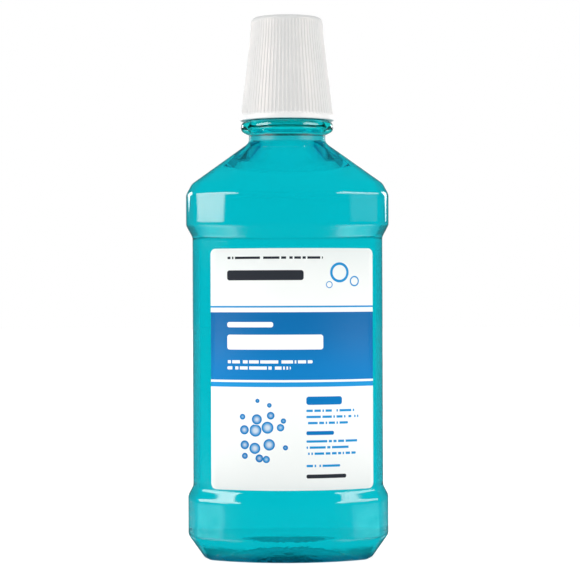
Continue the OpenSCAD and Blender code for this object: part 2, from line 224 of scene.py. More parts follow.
class Outline:
    """The plan outline of the body: two front arcs, two side arcs and four corners."""

    def __init__(self, body_w, body_d, front_r, side_bow):
        self.half_w = body_w / 2
        self.front_r = front_r
        self.front_centre = body_d / 2 - front_r
        edge_x = self.half_w - side_bow
        edge_y = self.front_centre + math.sqrt(front_r**2 - edge_x**2)
        self.side_r = (edge_y**2 + side_bow**2) / (2 * side_bow)
        self.side_centre = self.half_w - self.side_r
        self.apart = math.hypot(self.front_centre, self.side_centre)

    def corner_centre(self, inset, corner):
        from_front = self.front_r - inset - corner
        from_side = self.side_r - inset - corner
        along = (from_front**2 - from_side**2 + self.apart**2) / (2 * self.apart)
        across = math.sqrt(from_front**2 - along**2)
        way = np.array([self.side_centre, -self.front_centre]) / self.apart
        turned = np.array([way[1], -way[0]])
        return np.array([0, self.front_centre]) + along * way + across * turned

    def quarter(self, inset, corner):
        c = self.corner_centre(inset, corner)
        side_end = math.atan2(c[1], c[0] - self.side_centre)
        front_end = math.atan2(c[1] - self.front_centre, c[0])
        arcs = (
            ((self.side_centre, 0), self.side_r - inset, 0, side_end, SIDE_STEPS, 0),
            (c, corner, side_end, front_end, CORNER_STEPS, 1),
            ((0, self.front_centre), self.front_r - inset, front_end, math.pi / 2, FRONT_STEPS, 1),
        )
        points = []
        for centre, r, start, end, steps, first in arcs:
            for i in range(first, steps + 1):
                angle = mix(start, end, i / steps)
                points.append((centre[0] + r * math.cos(angle), centre[1] + r * math.sin(angle)))
        return np.array(points)

    def points(self, inset, corner):
        q = self.quarter(inset, corner)
        flip_x, flip_y = np.array([-1, 1]), np.array([1, -1])
        return np.concatenate(
            [q[:-1], (q * flip_x)[:0:-1], -q[:-1], (q * flip_y)[:0:-1]]
        )

    def ring(self, station, r):
        """A station is height, inset, corner radius, share turned to a circle at the sides, the same
        at the front, and sweep."""
        z, inset, corner, side_share, front_share, sweep = station
        p = self.points(inset, corner)
        sideways = (p[:, 0] / self.half_w) ** 2
        share = mix(front_share, side_share, sideways)[:, None]
        circle = r * p / np.linalg.norm(p, axis=1)[:, None]
        flat = mix(p, circle, share)
        return np.column_stack([flat, z + sweep * sideways])

    def circle(self, r, z):
        p = self.points(0, CORNER_R)
        way = p / np.linalg.norm(p, axis=1)[:, None]
        return np.column_stack([r * way, np.full(len(p), z)])


def station_gap(outline, a, b):
    return math.hypot(a[0] - b[0], a[1] - b[1] + (a[3] - b[3]) * (outline.half_w - NECK_ROOT_R))


def toward(outline, a, b, length):
    return mix(a, b, min(length / station_gap(outline, a, b), 0.4))


def crease(a, p, b):
    """Stations of a rounded crease from a to b round p."""
    out = []
    for i in range(CREASE_STEPS + 1):
        t = i / CREASE_STEPS
        out.append((1 - t) ** 2 * a + 2 * t * (1 - t) * p + t * t * b)
    return out


def body_stations(extra, heel_taper, bumper_inset, recess):
    corner = CORNER_R
    panel_corner = corner - recess / 2
    side_share = EDGE_IN / (BUMPER_HALF_W - NECK_ROOT_R)
    front_share = (SHOULDER_EDGE_TOP - UPPER_BUMPER_TOP) / (SHOULDER_TOP - UPPER_BUMPER_TOP)
    sweep = PANEL_SWEEP
    return [
        np.array(s, float)
        for s in (
            (extra, heel_taper + extra, corner, 0, 0, 0),
            (HEEL_TOP, bumper_inset + extra, corner, 0, 0, 0),
            (LOWER_BUMPER_TOP, bumper_inset + extra, corner, 0, 0, sweep),
            (PANEL_BOTTOM, recess + extra, panel_corner, 0, 0, sweep),
            (PANEL_TOP, recess + extra, panel_corner, 0, 0, sweep),
            (UPPER_BUMPER_BOTTOM, extra, corner, 0, 0, sweep),
            (UPPER_BUMPER_TOP, extra, corner, 0, 0, 0),
            (SHOULDER_EDGE_TOP, extra, corner, side_share, front_share, 0),
            (SHOULDER_TOP - extra, extra, corner, 1, 1, 0),
        )
    ]


def smooth_rings(outline, stations, root_r, cut):
    """Rings through the stations, with every inner crease rounded and held by a ring on each side."""
    rings, last = [], stations[0]
    for i in range(1, len(stations) - 1):
        a = toward(outline, stations[i], stations[i - 1], cut)
        b = toward(outline, stations[i], stations[i + 1], cut)
        length = station_gap(outline, last, a)
        if length > 3 * SUPPORT:
            middle = max(1, int(length / 12))
            shares = [SUPPORT / length] + [k / (middle + 1) for k in range(1, middle + 1)]
            shares.append(1 - SUPPORT / length)
            rings += [outline.ring(mix(last, a, s), root_r) for s in sorted(shares)]
        rings += [outline.ring(s, root_r) for s in crease(a, stations[i], b)]
        last = b
    end = stations[-1]
    for s in (0.03, 0.15, 0.3, 0.45, 0.6, 0.75, 0.9, 0.97):
        rings.append(outline.ring(mix(last, end, s), root_r))
    return rings


def push_up(outline, extra, heel_taper, stand_w, height, r):
    """The domed push-up, from its centre out to the standing ring."""
    rings = []
    for i in range(PUSH_UP_STEPS, 0, -1):
        share = i / PUSH_UP_STEPS
        z = extra + height * math.sin(math.pi / 2 * share)
        rings.append(outline.ring((z, heel_taper + stand_w, CORNER_R, share, share, 0), r))
    return rings


# ------------------------------------------------------------------- meshes


def quads(count, n, closed=False):
    """Faces between rings of n points, and from the last ring back to the first where closed."""
    faces = []
    for k in range(count if closed else count - 1):
        m = (k + 1) % count
        for i in range(n):
            j = (i + 1) % n
            faces.append((k * n + i, k * n + j, m * n + j, m * n + i))
    return faces


def fans(count, n):
    """Faces that close the first and the last ring to a point each. The points come after the rings."""
    first, last, base = count * n, count * n + 1, (count - 1) * n
    faces = [(first, (i + 1) % n, i) for i in range(n)]
    return faces + [(last, base + i, base + (i + 1) % n) for i in range(n)]


def loft(name, rings):
    """A closed mesh through rings of equal length that run anticlockwise from below."""
    n, count = len(rings[0]), len(rings)
    verts = np.concatenate([*rings, [rings[0].mean(0), rings[-1].mean(0)]])
    return make_object(name, verts, quads(count, n) + fans(count, n))


def make_object(name, verts, faces, smooth=True):
    mesh = bpy.data.meshes.new(name)
    mesh.from_pydata((np.asarray(verts) * MM).tolist(), [], faces)
    mesh.validate()
    if smooth:
        mesh.polygons.foreach_set("use_smooth", [True] * len(mesh.polygons))
    mesh.update()
    ob = bpy.data.objects.new(name, mesh)
    bpy.context.scene.collection.objects.link(ob)
    return ob


def lathe(name, profile, n, thread=None):
    """A turned mesh. The profile runs round the section, outside upwards, and starts and ends on the
    axis if its first and last radii are 0. thread(angle, z, r) shifts the points of marked rows."""
    angles = np.arange(n) * 2 * math.pi / n
    solid = profile[0][0] < 1e-6 and profile[-1][0] < 1e-6
    rows = profile[1:-1] if solid else profile
    verts = []
    for row in rows:
        r, z = row[0], row[1]
        threaded = thread is not None and len(row) > 2 and row[2]
        for a in angles:
            rr = thread(a, z, r) if threaded else r
            verts.append((rr * math.cos(a), rr * math.sin(a), z))
    count = len(rows)
    faces = quads(count, n, closed=not solid)
    if solid:
        verts += [(0, 0, profile[0][1]), (0, 0, profile[-1][1])]
        faces += fans(count, n)
    return make_object(name, verts, faces)


def held(profile, gap):
    """Adds a point close to each corner of a profile on both sides, so that smooth shading keeps it."""
    out = []
    n = len(profile)
    ring = profile[0][0] > 1e-6

    def beside(p, i, there):
        if not there:
            return []
        way = np.array(profile[i % n], float) - p
        length = np.linalg.norm(way)
        return [tuple(p + way / length * gap)] if length > 3 * gap else []

    for i, row in enumerate(profile):
        p = np.array(row, float)
        out += beside(p, i - 1, i > 0 or ring)
        out.append(tuple(p))
        out += beside(p, i + 1, i < n - 1 or ring)
    return out


def arc(centre, r, start, end, steps):
    """Points of an arc, angles in degrees."""
    return [
        (
            centre[0] + r * math.cos(math.radians(mix(start, end, i / steps))),
            centre[1] + r * math.sin(math.radians(mix(start, end, i / steps))),
        )
        for i in range(steps + 1)
    ]


def thread_height(angle, z, bottom):
    """How high a thread stands at an angle and a height, as a share of its full depth."""
    best = 0.0
    for k in range(-1, int(THREAD_TURNS) + 2):
        turn = angle / (2 * math.pi) + k
        if not 0 <= turn <= THREAD_TURNS:
            continue
        off = abs(z - (bottom + THREAD_PITCH * turn))
        flank = (THREAD_FOOT / 2 - off) / (THREAD_FOOT / 2 - THREAD_CREST / 2)
        ends = min(turn, THREAD_TURNS - turn) / THREAD_RUN_OUT
        best = max(best, min(max(flank, 0), 1) * min(max(ends, 0), 1))
    return best


# ----------------------------------------------------------------- materials


class Nodes:
    """Short calls that add nodes to a tree and link them."""

    def __init__(self, nt):
        self.nt = nt

    def node(self, kind, **values):
        n = self.nt.nodes.new(kind)
        for key, value in values.items():
            setattr(n, key, value)
        return n

    def put(self, socket, value):
        if isinstance(value, bpy.types.NodeSocket):
            self.nt.links.new(value, socket)
        elif isinstance(value, (tuple, list)) and len(value) == 3 and socket.type == "RGBA":
            socket.default_value = (*value, 1)
        else:
            socket.default_value = value

    def make(self, kind, wires, out=0, **values):
        """A node with its sockets set by name or number; gives one of its outputs."""
        n = self.node(kind, **values)
        for socket, value in wires.items():
            self.put(n.inputs[socket], value)
        return n.outputs[out]

    def math(self, op, *values, clamp=False):
        return self.make("ShaderNodeMath", dict(enumerate(values)), operation=op, use_clamp=clamp)

    def vec(self, op, *values, out=0):
        return self.make("ShaderNodeVectorMath", dict(enumerate(values)), out, operation=op)

    def colour(self, share, a, b):
        return self.make("ShaderNodeMix", {0: share, 6: a, 7: b}, 2, data_type="RGBA")

    def pick(self, flag, a, b):
        return self.make("ShaderNodeMix", {0: flag, 2: a, 3: b})

    def shaders(self, share, a, b):
        return self.make("ShaderNodeMixShader", {0: share, 1: a, 2: b})

    def both(self, a, b):
        return self.make("ShaderNodeAddShader", {0: a, 1: b})

    def ramp(self, value, stops):
        n = self.node("ShaderNodeValToRGB")
        while len(n.color_ramp.elements) < len(stops):
            n.color_ramp.elements.new(0.5)
        for e, (at, colour) in zip(n.color_ramp.elements, stops):
            e.position = at
            e.color = (*colour, 1)
        self.put(n.inputs[0], value)
        return n.outputs[0]

    def span(self, value, low, high, to_low=0.0, to_high=1.0, smooth=True):
        wires = dict(enumerate((value, low, high, to_low, to_high)))
        kind = "SMOOTHSTEP" if smooth else "LINEAR"
        return self.make("ShaderNodeMapRange", wires, interpolation_type=kind)

    def noise(self, where, scale, detail=2.0, rough=0.5, stretch=None):
        if stretch is not None:
            where = self.make("ShaderNodeMapping", {0: where, "Scale": stretch})
        wires = {"Vector": where, "Scale": scale, "Detail": detail, "Roughness": rough}
        return self.make("ShaderNodeTexNoise", wires)

    def place(self):
        return self.node("ShaderNodeTexCoord").outputs["Object"]

    def path(self):
        return self.node("ShaderNodeLightPath").outputs

    def parts(self, vector):
        n = self.node("ShaderNodeSeparateXYZ")
        self.put(n.inputs[0], vector)
        return n.outputs

    def backfacing(self):
        return self.node("ShaderNodeNewGeometry").outputs["Backfacing"]

    def bump(self, height, strength, distance):
        wires = {"Strength": strength, "Distance": distance, "Height": height}
        return self.make("ShaderNodeBump", wires)

    def principled(self, **values):
        wires = {key.replace("_", " "): value for key, value in values.items()}
        return self.make("ShaderNodeBsdfPrincipled", wires)


class Tree(Nodes):
    """The nodes of a new material."""

    def __init__(self, name, blend=None):
        self.mat = bpy.data.materials.new(name)
        self.mat.use_nodes = True
        super().__init__(self.mat.node_tree)
        self.nt.nodes.clear()
        self.out = self.nt.nodes.new("ShaderNodeOutputMaterial")
        if blend:
            self.mat.surface_render_method = blend

    def finish(self, surface, volume=None):
        self.put(self.out.inputs["Surface"], surface)
        if volume is not None:
            self.put(self.out.inputs["Volume"], volume)
        return self.mat


def node_group(name, kind, ins, outs):
    """An empty node group with the sockets that are named, each with its type."""
    group = bpy.data.node_groups.new(name, kind)
    for way, sockets in (("INPUT", ins), ("OUTPUT", outs)):
        for label, value in sockets:
            group.interface.new_socket(label, in_out=way, socket_type="NodeSocket" + value)
    return group


def clear_plastic():
    """Thin clear blown plastic: what is behind it shows, under a polished skin with faint waves."""
    t = Tree("clear_blown_plastic", "BLENDED")
    shoulder, bottom, top = SHOULDER_TOP * MM, COLLAR_BOTTOM * MM, COLLAR_TOP * MM
    at = t.place()
    z = t.parts(at)[2]
    waves = t.noise(at, 34.0, 2.0, 0.5, (1.0, 1.0, 0.55))
    collar = t.math("MULTIPLY", t.span(z, bottom, bottom + 0.001), 0.45)
    ripples = t.math("MULTIPLY", t.noise(at, 210.0, 2.0, 0.5), collar)
    normal = t.bump(t.math("ADD", waves, ripples), 0.12, 0.0012)
    above = t.span(z, shoulder, shoulder + 0.001)
    neck = t.math("MULTIPLY", above, t.span(z, bottom + 0.0005, bottom))
    fresnel = t.make("ShaderNodeFresnel", {"IOR": CLEAR_IOR, "Normal": normal})
    front = t.math("SUBTRACT", 1.0, t.backfacing())
    # Above the collar there is no liquid behind the wall: there the gloss may grow stronger, and a
    # painted shade darkens the plastic where it turns away at its edges
    empty = t.span(z, top, top + 0.0004)
    limit = t.math("ADD", t.math("MULTIPLY", empty, 0.6), 0.08)
    share = t.math("MULTIPLY", t.math("MINIMUM", fresnel, limit), front)
    share = t.math("MULTIPLY", share, t.math("SUBTRACT", 1.0, t.math("MULTIPLY", neck, 0.5)))
    facing = t.make("ShaderNodeLayerWeight", {"Blend": 0.5}, "Facing")
    # Painted edge shade: the see-through tint darkens as the surface turns edge-on
    edge = t.math("MULTIPLY", empty, t.math("POWER", facing, 1.6))
    tone = t.colour(edge, (0.985, 0.995, 0.995), (0.42, 0.56, 0.6))
    clear = t.make("ShaderNodeBsdfTransparent", {"Color": tone})
    satin = t.math("MULTIPLY", neck, 0.3)
    rough = t.math("ADD", t.span(waves, 0.3, 0.7, 0.045, 0.075), satin)
    skin = {"Color": (1, 1, 1, 1), "Roughness": rough, "Normal": normal}
    gloss = t.make("ShaderNodeBsdfGlossy", skin)
    return t.finish(t.shaders(share, clear, gloss))


def teal_liquid(body, base_shade, neck, collar, density):
    """Clear dyed liquid: it bends light, and its dye takes out red along the way."""
    t = Tree("teal_liquid", "DITHERED")
    at = t.place()
    z = t.parts(at)[2]
    bottom = COLLAR_BOTTOM * MM
    tone = t.colour(t.span(z, *NECK_TONE), body, neck)
    tone = t.colour(t.span(z, bottom, bottom + 0.001), tone, collar)
    # Painted shade: the liquid is given a darker blue tone at the very base
    tone = t.colour(t.span(z, *BASE_SHADE), tone, base_shade)
    # The thick plastic of the base is uneven, and bends light in streaks
    streaks = t.noise(at, 260.0, 3.0, 0.6, (1.0, 1.0, 0.5))
    uneven = t.math("MULTIPLY", streaks, t.span(z, *BASE_STREAKS))
    glass = t.principled(
        Base_Color=tone,
        Normal=t.bump(uneven, 0.5, 0.0008),
        Roughness=0.0,
        IOR=LIQUID_IOR,
        Transmission_Weight=1.0,
    )
    shade = t.make("ShaderNodeBsdfTransparent", {"Color": (0.4, 0.95, 0.97)})
    dye = t.make("ShaderNodeVolumeAbsorption", {"Color": (0.0, 0.985, 0.99, 1), "Density": density})
    return t.finish(t.shaders(t.path()["Is Shadow Ray"], glass, shade), dye)


def cap_plastic(tone):
    """Moulded white plastic, faintly satin, with a fine grain."""
    t = Tree("white_cap_plastic")
    at = t.place()
    cloud = t.noise(at, 90.0, 3.0, 0.55)
    grain = t.noise(at, 2600.0, 2.0, 0.5)
    colour = t.colour(t.span(cloud, 0.35, 0.65), tone, tuple(c * 0.985 for c in tone))
    # Painted light: the plain ring is painted paler than the ribbed skirt, standing in for the shade
    # that the skirt's grooves hold and the ring has not
    ring = t.span(t.parts(at)[2], CAP_RING_TOP * MM + 0.0012, CAP_RING_TOP * MM)
    colour = t.colour(ring, colour, tuple(c * RING_PAINTED_LIFT for c in tone))
    normal = t.bump(grain, 0.08, 0.00012)
    return t.finish(
        t.principled(
            Base_Color=colour,
            Roughness=t.span(cloud, 0.3, 0.7, 0.44, 0.52),
            Normal=normal,
        )
    )


def cup_plastic():
    """Natural plastic of the dosing cup: milky, and light passes it."""
    t = Tree("natural_cup_plastic")
    at = t.place()
    cloud = t.noise(at, 140.0, 2.0, 0.5)
    return t.finish(
        t.principled(
            Base_Color=t.colour(t.span(cloud, 0.35, 0.65), (0.86, 0.89, 0.89), (0.82, 0.86, 0.87)),
            Roughness=t.span(cloud, 0.3, 0.7, 0.22, 0.32),
            Normal=t.bump(t.noise(at, 1800.0), 0.05, 0.0001),
            Transmission_Weight=0.25,
            IOR=1.49,
        )
    )


def foam():
    """Closed-cell foam of the seal ring."""
    t = Tree("seal_foam")
    depth = t.make("ShaderNodeTexVoronoi", {"Vector": t.place(), "Scale": 2800.0}, "Distance")
    colour = t.colour(t.span(depth, 0.1, 0.6), (0.83, 0.83, 0.79), (0.74, 0.74, 0.7))
    return t.finish(
        t.principled(Base_Color=colour, Roughness=0.85, Normal=t.bump(depth, 0.4, 0.0002))
    )


# --------------------------------------------------------------- label print


def bar_group():
    """A node group that masks a rounded bar: 1 inside it and 0 outside, in millimetres."""
    name = "rounded_bar"
    group = bpy.data.node_groups.get(name)
    if group:
        return group
    ins = (("Place", "Vector"), ("Centre", "Vector"), ("Half Size", "Vector"), ("Corner", "Float"))
    group = node_group(name, "ShaderNodeTree", ins, (("Mask", "Float"),))
    t = Nodes(group)
    place, centre, half, corner = t.node("NodeGroupInput").outputs[:4]
    off = t.vec("ABSOLUTE", t.vec("SUBTRACT", place, centre))
    core = t.vec("SUBTRACT", half, t.make("ShaderNodeCombineXYZ", {0: corner, 1: corner}))
    past = t.vec("MAXIMUM", t.vec("SUBTRACT", off, core), (0, 0, 0))
    reach = t.math("SUBTRACT", t.vec("LENGTH", t.vec("MULTIPLY", past, (1, 1, 0)), out=1), corner)
    t.put(t.node("NodeGroupOutput").inputs[0], t.span(reach, 0.06, -0.06, smooth=False))
    return group


def bar(t, place, centre, half, corner):
    wires = {0: place, 1: (*centre, 0), 2: (*half, 0), 3: corner}
    return t.make("ShaderNodeGroup", wires, node_tree=bar_group())


def wide_bar(t, place, width, middle, half_height):
    """A bar from edge to edge of a label."""
    return bar(t, place, (0.0, middle), (width * 0.5 + 2, half_height), 0.2)


def union(t, masks):
    total = masks[0]
    for m in masks[1:]:
        total = t.math("MAXIMUM", total, m)
    return total


def label_place(t, width, height):
    """Place on a label in millimetres from its lower middle, from its own map."""
    uv = t.node("ShaderNodeUVMap")
    uv.uv_map = "print"
    moved = t.vec("SUBTRACT", uv.outputs[0], (0.5, 0.0, 0.0))
    return t.vec("MULTIPLY", moved, (width, height, 1.0))


def label_paper(t, place, paper):
    """The film's own colour, hardly clouded."""
    cloud = t.noise(place, 0.05, 2.0, 0.5)
    return t.colour(t.span(cloud, 0.3, 0.7), paper, tuple(c * 0.992 for c in paper))


def label_surface(t, colour, place):
    """The finish of a printed film: matt, with a trace of orange peel."""
    peel = t.noise(place, 0.55, 2.0, 0.5)
    return t.finish(
        t.principled(
            Base_Color=colour,
            Roughness=t.span(peel, 0.3, 0.7, 0.46, 0.54),
            Specular_IOR_Level=0.08,
            Normal=t.bump(peel, 0.06, 0.0001),
        )
    )


def dash_mask(t, place, pitch, phase):
    """Breaks rows of a pitch into dashes of uneven length, as a stand-in for fine print."""
    cell = t.vec("MULTIPLY", place, (1 / 0.75, 1 / pitch, 0.0))
    cell = t.vec("FLOOR", t.vec("ADD", cell, (0.0, phase, 0.0)))
    chance = t.make("ShaderNodeTexWhiteNoise", {"Vector": cell}, "Value", noise_dimensions="2D")
    return t.math("GREATER_THAN", chance, 0.22)


def mix_tone(a, b, share):
    return tuple(mix(x, y, share) for x, y in zip(a, b))


def front_print(width, height, paper, blue, cyan, ink):
    """A generic print: a straight blue field with a cyan foot, bubbles below, and plain bars."""
    t = Tree("front_label_print")
    place = label_place(t, width, height)
    y = t.parts(place)[1]
    base = label_paper(t, place, paper)

    # The blue field, darker towards its top, with a cyan strip and a thin line beside it
    tone = t.colour(t.span(y, 50.0, 78.0), mix_tone(blue, cyan, 0.2), tuple(c * 0.8 for c in blue))
    base = t.colour(wide_bar(t, place, width, 66.0, 15.5), base, tone)
    for middle, half_height in ((48.4, 1.1), (84.0, 0.4)):
        base = t.colour(wide_bar(t, place, width, middle, half_height), base, cyan)

    # Plain bars, and rows of small dashes: height, left end, right end, half thickness
    left, middle = -31, 6
    pitch = 2.8
    dashes = dash_mask(t, place, pitch, 0.5)
    ends = ((13, 30), (12, 32), (11, 26), (8, 31), (7, 28), (6, 30), (4, 22))
    small = [(pitch * row, middle, end, 0.55) for row, end in ends]
    for rows, tint, broken in (
        (((67.8, left, 14, 3.4), (75.8, left, -9, 1.2)), paper, False),
        (((pitch * 21, left, 9, 0.7), (pitch * 20, left, -1, 0.7)), paper, True),
        (((98.4, left, 5, 2.3), (6.4, middle, 25, 0.9)), ink, False),
        (((pitch * 38, left, 14, 0.55),), ink, True),
        (((41.0, middle, 23, 1.9), (26.2, middle, 19, 0.9)), blue, False),
        (small, cyan, True),
    ):
        masks = []
        for z, low, high, thick in rows:
            half = ((high - low) / 2, thick)
            masks.append(bar(t, place, ((low + high) / 2, z), half, min(thick * 0.8, 1.2)))
        mask = union(t, masks)
        base = t.colour(t.math("MULTIPLY", mask, dashes) if broken else mask, base, tint)

    # Three rings at the upper right
    for across, up, r in ((22.0, 99.6, 4.6), (29.6, 95.6, 2.4), (17.0, 94.0, 1.6)):
        for size, tint in ((r, cyan), (r * 0.74, paper)):
            base = t.colour(bar(t, place, (across, up), (size, size), size - 0.01), base, tint)

    # Bubbles: a disc in each cell of a random pattern, larger towards the middle of their patch
    cells = t.node("ShaderNodeTexVoronoi", voronoi_dimensions="2D")
    for name, value in (("Vector", place), ("Scale", 0.16), ("Randomness", 0.62)):
        t.put(cells.inputs[name], value)
    off = t.vec("SUBTRACT", cells.outputs["Position"], (-15.0, 25.0, 0.0))
    away = t.vec("LENGTH", t.vec("MULTIPLY", off, (1.0, 0.9, 0.0)), out=1)
    size = t.math("MULTIPLY", t.span(away, 3.0, 15.0, 0.46, 0.16), t.math("LESS_THAN", away, 14.5))
    disc = t.math("SUBTRACT", size, cells.outputs["Distance"])
    fill = t.span(disc, 0.0, 0.02)
    rim = t.math("MULTIPLY", fill, t.span(disc, 0.09, 0.05))
    inner = t.colour(t.parts(cells.outputs["Color"])[0], cyan, blue)
    inner = t.colour(t.span(disc, 0.06, 0.36, 0.0, 0.65), inner, paper)
    base = t.colour(fill, base, inner)
    base = t.colour(rim, base, blue)
    return label_surface(t, base, place)


def back_print(width, height, paper, blue, cyan, ink):
    """A generic back: a blue head, then rows of plain bars with a rule between them."""
    t = Tree("back_label_print")
    place = label_place(t, width, height)
    x, y, _ = t.parts(place)
    edge = width / 2 - 3.4
    base = label_paper(t, place, paper)
    base = t.colour(wide_bar(t, place, width, 100.0, 6.0), base, blue)
    base = t.colour(wide_bar(t, place, width, 92.6, 0.8), base, cyan)
    base = t.colour(bar(t, place, (3.0 - edge / 2, 100.0), (edge / 2 + 3.0, 1.6), 0.8), base, paper)
    base = t.colour(bar(t, place, (9.0 - edge, 8.0), (9.0, 1.2), 0.8), base, blue)

    def between(value, low, high):
        above, below = t.math("GREATER_THAN", value, low), t.math("LESS_THAN", value, high)
        return t.math("MULTIPLY", above, below)

    # Rows of bars: each row has its own length
    pitch = 3.4
    row = t.math("DIVIDE", y, pitch)
    number = t.math("FLOOR", row)
    part = t.math("FRACT", row)
    chance = t.make("ShaderNodeTexWhiteNoise", {"W": number}, "Value", noise_dimensions="1D")
    reach = t.span(chance, 0.0, 1.0, edge * 0.45, edge, smooth=False)
    block = between(y, 14.0, 88.0)
    rows = t.math("MULTIPLY", between(x, -edge, reach), between(part, 0.36, 0.66))
    rows = t.math("MULTIPLY", rows, block)

    # One row in six is left empty, and has a rule instead
    gap = t.math("LESS_THAN", t.math("FRACT", t.math("DIVIDE", number, 6.0)), 0.1)
    rows = t.math("MULTIPLY", rows, t.math("SUBTRACT", 1.0, gap))
    base = t.colour(t.math("MULTIPLY", rows, dash_mask(t, place, pitch, 0.0)), base, ink)
    rule = t.math("MULTIPLY", t.math("MULTIPLY", gap, block), between(part, 0.43, 0.57))
    base = t.colour(t.math("MULTIPLY", rule, between(x, -edge, edge)), base, blue)
    return label_surface(t, base, place)


def label_back(glow):
    """The plain reverse of a label, with a painted glow: an emission that only rays coming through
    clear pieces see, weaker after they have been reflected inside, standing in for light that the film
    lets through where the reverse is seen through the liquid."""
    t = Tree("label_reverse")
    cloud = t.noise(t.place(), 60.0, 2.0, 0.5)
    colour = t.colour(t.span(cloud, 0.3, 0.7), (0.86, 0.88, 0.88), (0.83, 0.85, 0.85))
    path = t.path()
    # Painted glow: emission on the reverse, brighter for rays that come straight through the liquid
    direct = t.span(path["Ray Depth"], 2.2, 2.8, 2.1 * glow, 1.05 * glow)
    strength = t.math("MULTIPLY", path["Is Transmission Ray"], direct)
    painted_glow = t.make("ShaderNodeEmission", {"Color": (0.4, 0.41, 0.41), "Strength": strength})
    return t.finish(t.both(t.principled(Base_Color=colour, Roughness=0.6), painted_glow))


def floor_material(lift, bounce, tone):
    """White table. It shows as white to the camera, keeps a faint shadow, reflects the panels, and in
    reflections carries a painted glow beside the bottle.
    """
    t = Tree("white_table")
    at = t.place()
    cloud = t.noise(at, 3.0, 2.0, 0.5)
    colour = t.colour(t.span(cloud, 0.3, 0.7), tone, tuple(c * 0.99 for c in tone))
    path = t.path()
    # A ray that has passed clear pieces counts as a glossy one too, so those are taken out
    mirrored = t.math("SUBTRACT", path["Is Glossy Ray"], path["Is Transmission Ray"], clamp=True)
    outside = t.math("LESS_THAN", path["Transparent Depth"], 0.5)
    matt = t.colour(mirrored, colour, (0.05, 0.05, 0.05))
    diffuse = t.make("ShaderNodeBsdfDiffuse", {"Color": matt})

    # Painted glow, seen only in reflections: as it is mirrored, the table glows on both sides of the
    # bottle and a little behind it, and this puts painted highlights on the bottle
    x, y, _ = t.parts(at)
    behind = t.span(y, 0.0, 1.0, 0.0, 0.04)
    turn = t.math("ARCTAN2", t.math("ABSOLUTE", x), t.math("MULTIPLY", y, -1.0))
    beside = t.math("MULTIPLY", t.span(turn, 0.86, 1.02), t.span(turn, 1.35, 1.55, 1.0, 0.15))
    away = t.vec("LENGTH", at, out=1)
    near = t.math("MULTIPLY", t.span(away, 0.09, 0.13), t.span(away, 0.38, 0.25))
    dimmed = t.math("MAXIMUM", outside, BEHIND_WALL)
    painted_glow = t.math("MULTIPLY", t.math("MULTIPLY", beside, near), dimmed)
    uneven = t.span(t.noise(at, 16.0, 3.0, 0.6), 0.35, 0.65, 1.6, 3.6)
    level = t.math("ADD", behind, t.math("MULTIPLY", painted_glow, uneven))

    strength = t.math("MULTIPLY", path["Is Camera Ray"], lift)
    for flag, value in (
        (path["Is Transmission Ray"], lift - 0.16),
        (path["Is Diffuse Ray"], bounce),
        (mirrored, level),
    ):
        strength = t.math("ADD", strength, t.math("MULTIPLY", flag, value))
    # The painted glow beside the bottle is tinted teal in reflections
    tint = t.colour(t.math("MULTIPLY", mirrored, painted_glow), (1.0, 1.0, 1.0), (0.35, 1.0, 0.85))
    glow = t.make("ShaderNodeEmission", {"Color": tint, "Strength": strength})
    gloss = t.make("ShaderNodeBsdfGlossy", {"Roughness": 0.2})
    table = t.shaders(t.math("MULTIPLY", mirrored, 0.3), t.both(diffuse, glow), gloss)

    # From below, the camera looks through the table at the underside
    below = t.math("MULTIPLY", t.backfacing(), path["Is Camera Ray"])
    return t.finish(t.shaders(below, table, t.node("ShaderNodeBsdfTransparent").outputs[0]))


# ------------------------------------------------------------------ settings


class BottleSettings(bpy.types.PropertyGroup):
    body_w: bpy.props.FloatProperty(
        name="Width", description="Width across the upper bumper, mm", default=96.0
    )
    body_d: bpy.props.FloatProperty(
        name="Depth", description="Depth across the upper bumper, mm", default=80.0
    )
    front_r: bpy.props.FloatProperty(
        name="Front radius", description="Plan radius of the front face, mm", default=67.0
    )
    side_bow: bpy.props.FloatProperty(
        name="Side bow", description="How far a side bows outwards, mm", default=4.7
    )
    wall: bpy.props.FloatProperty(
        name="Wall", description="Thickness of the wall as it looks round the liquid, mm", default=0.12
    )
    heel_taper: bpy.props.FloatProperty(
        name="Heel taper", description="How far the heel tapers in, mm", default=8.0
    )
    bumper_inset: bpy.props.FloatProperty(
        name="Lower bumper inset", description="How far the lower bumper lies in, mm", default=0.6
    )
    recess: bpy.props.FloatProperty(
        name="Panel recess", description="How far the label panel lies in, mm", default=3.0
    )
    stand_w: bpy.props.FloatProperty(
        name="Standing ring", description="Width of the standing ring, mm", default=3.4
    )
    push_up_h: bpy.props.FloatProperty(
        name="Push-up height", description="Height of the push-up, mm", default=9.5
    )
    push_up_r: bpy.props.FloatProperty(
        name="Push-up radius", description="Radius of the push-up's top, mm", default=6.0
    )
    liquid: bpy.props.FloatVectorProperty(
        name="Liquid", description="Colour of the liquid", subtype="COLOR", default=(0.03, 0.585, 0.66)
    )
    # Colour of a painted shade on the liquid at the base, not a different liquid
    liquid_base_shade: bpy.props.FloatVectorProperty(
        name="Liquid at the base",
        description="Colour of the liquid where the base darkens it",
        subtype="COLOR",
        default=(0.015, 0.21, 0.42),
    )
    liquid_neck: bpy.props.FloatVectorProperty(
        name="Liquid in the neck",
        description="Colour of the liquid in the neck",
        subtype="COLOR",
        default=(0.07, 0.46, 0.52),
    )
    liquid_collar: bpy.props.FloatVectorProperty(
        name="Liquid in the collar",
        description="Colour of the liquid in the collar",
        subtype="COLOR",
        default=(0.02, 0.68, 0.66),
    )
    dye: bpy.props.FloatProperty(
        name="Dye", description="How strongly the dye takes out red, per metre", default=90.0
    )


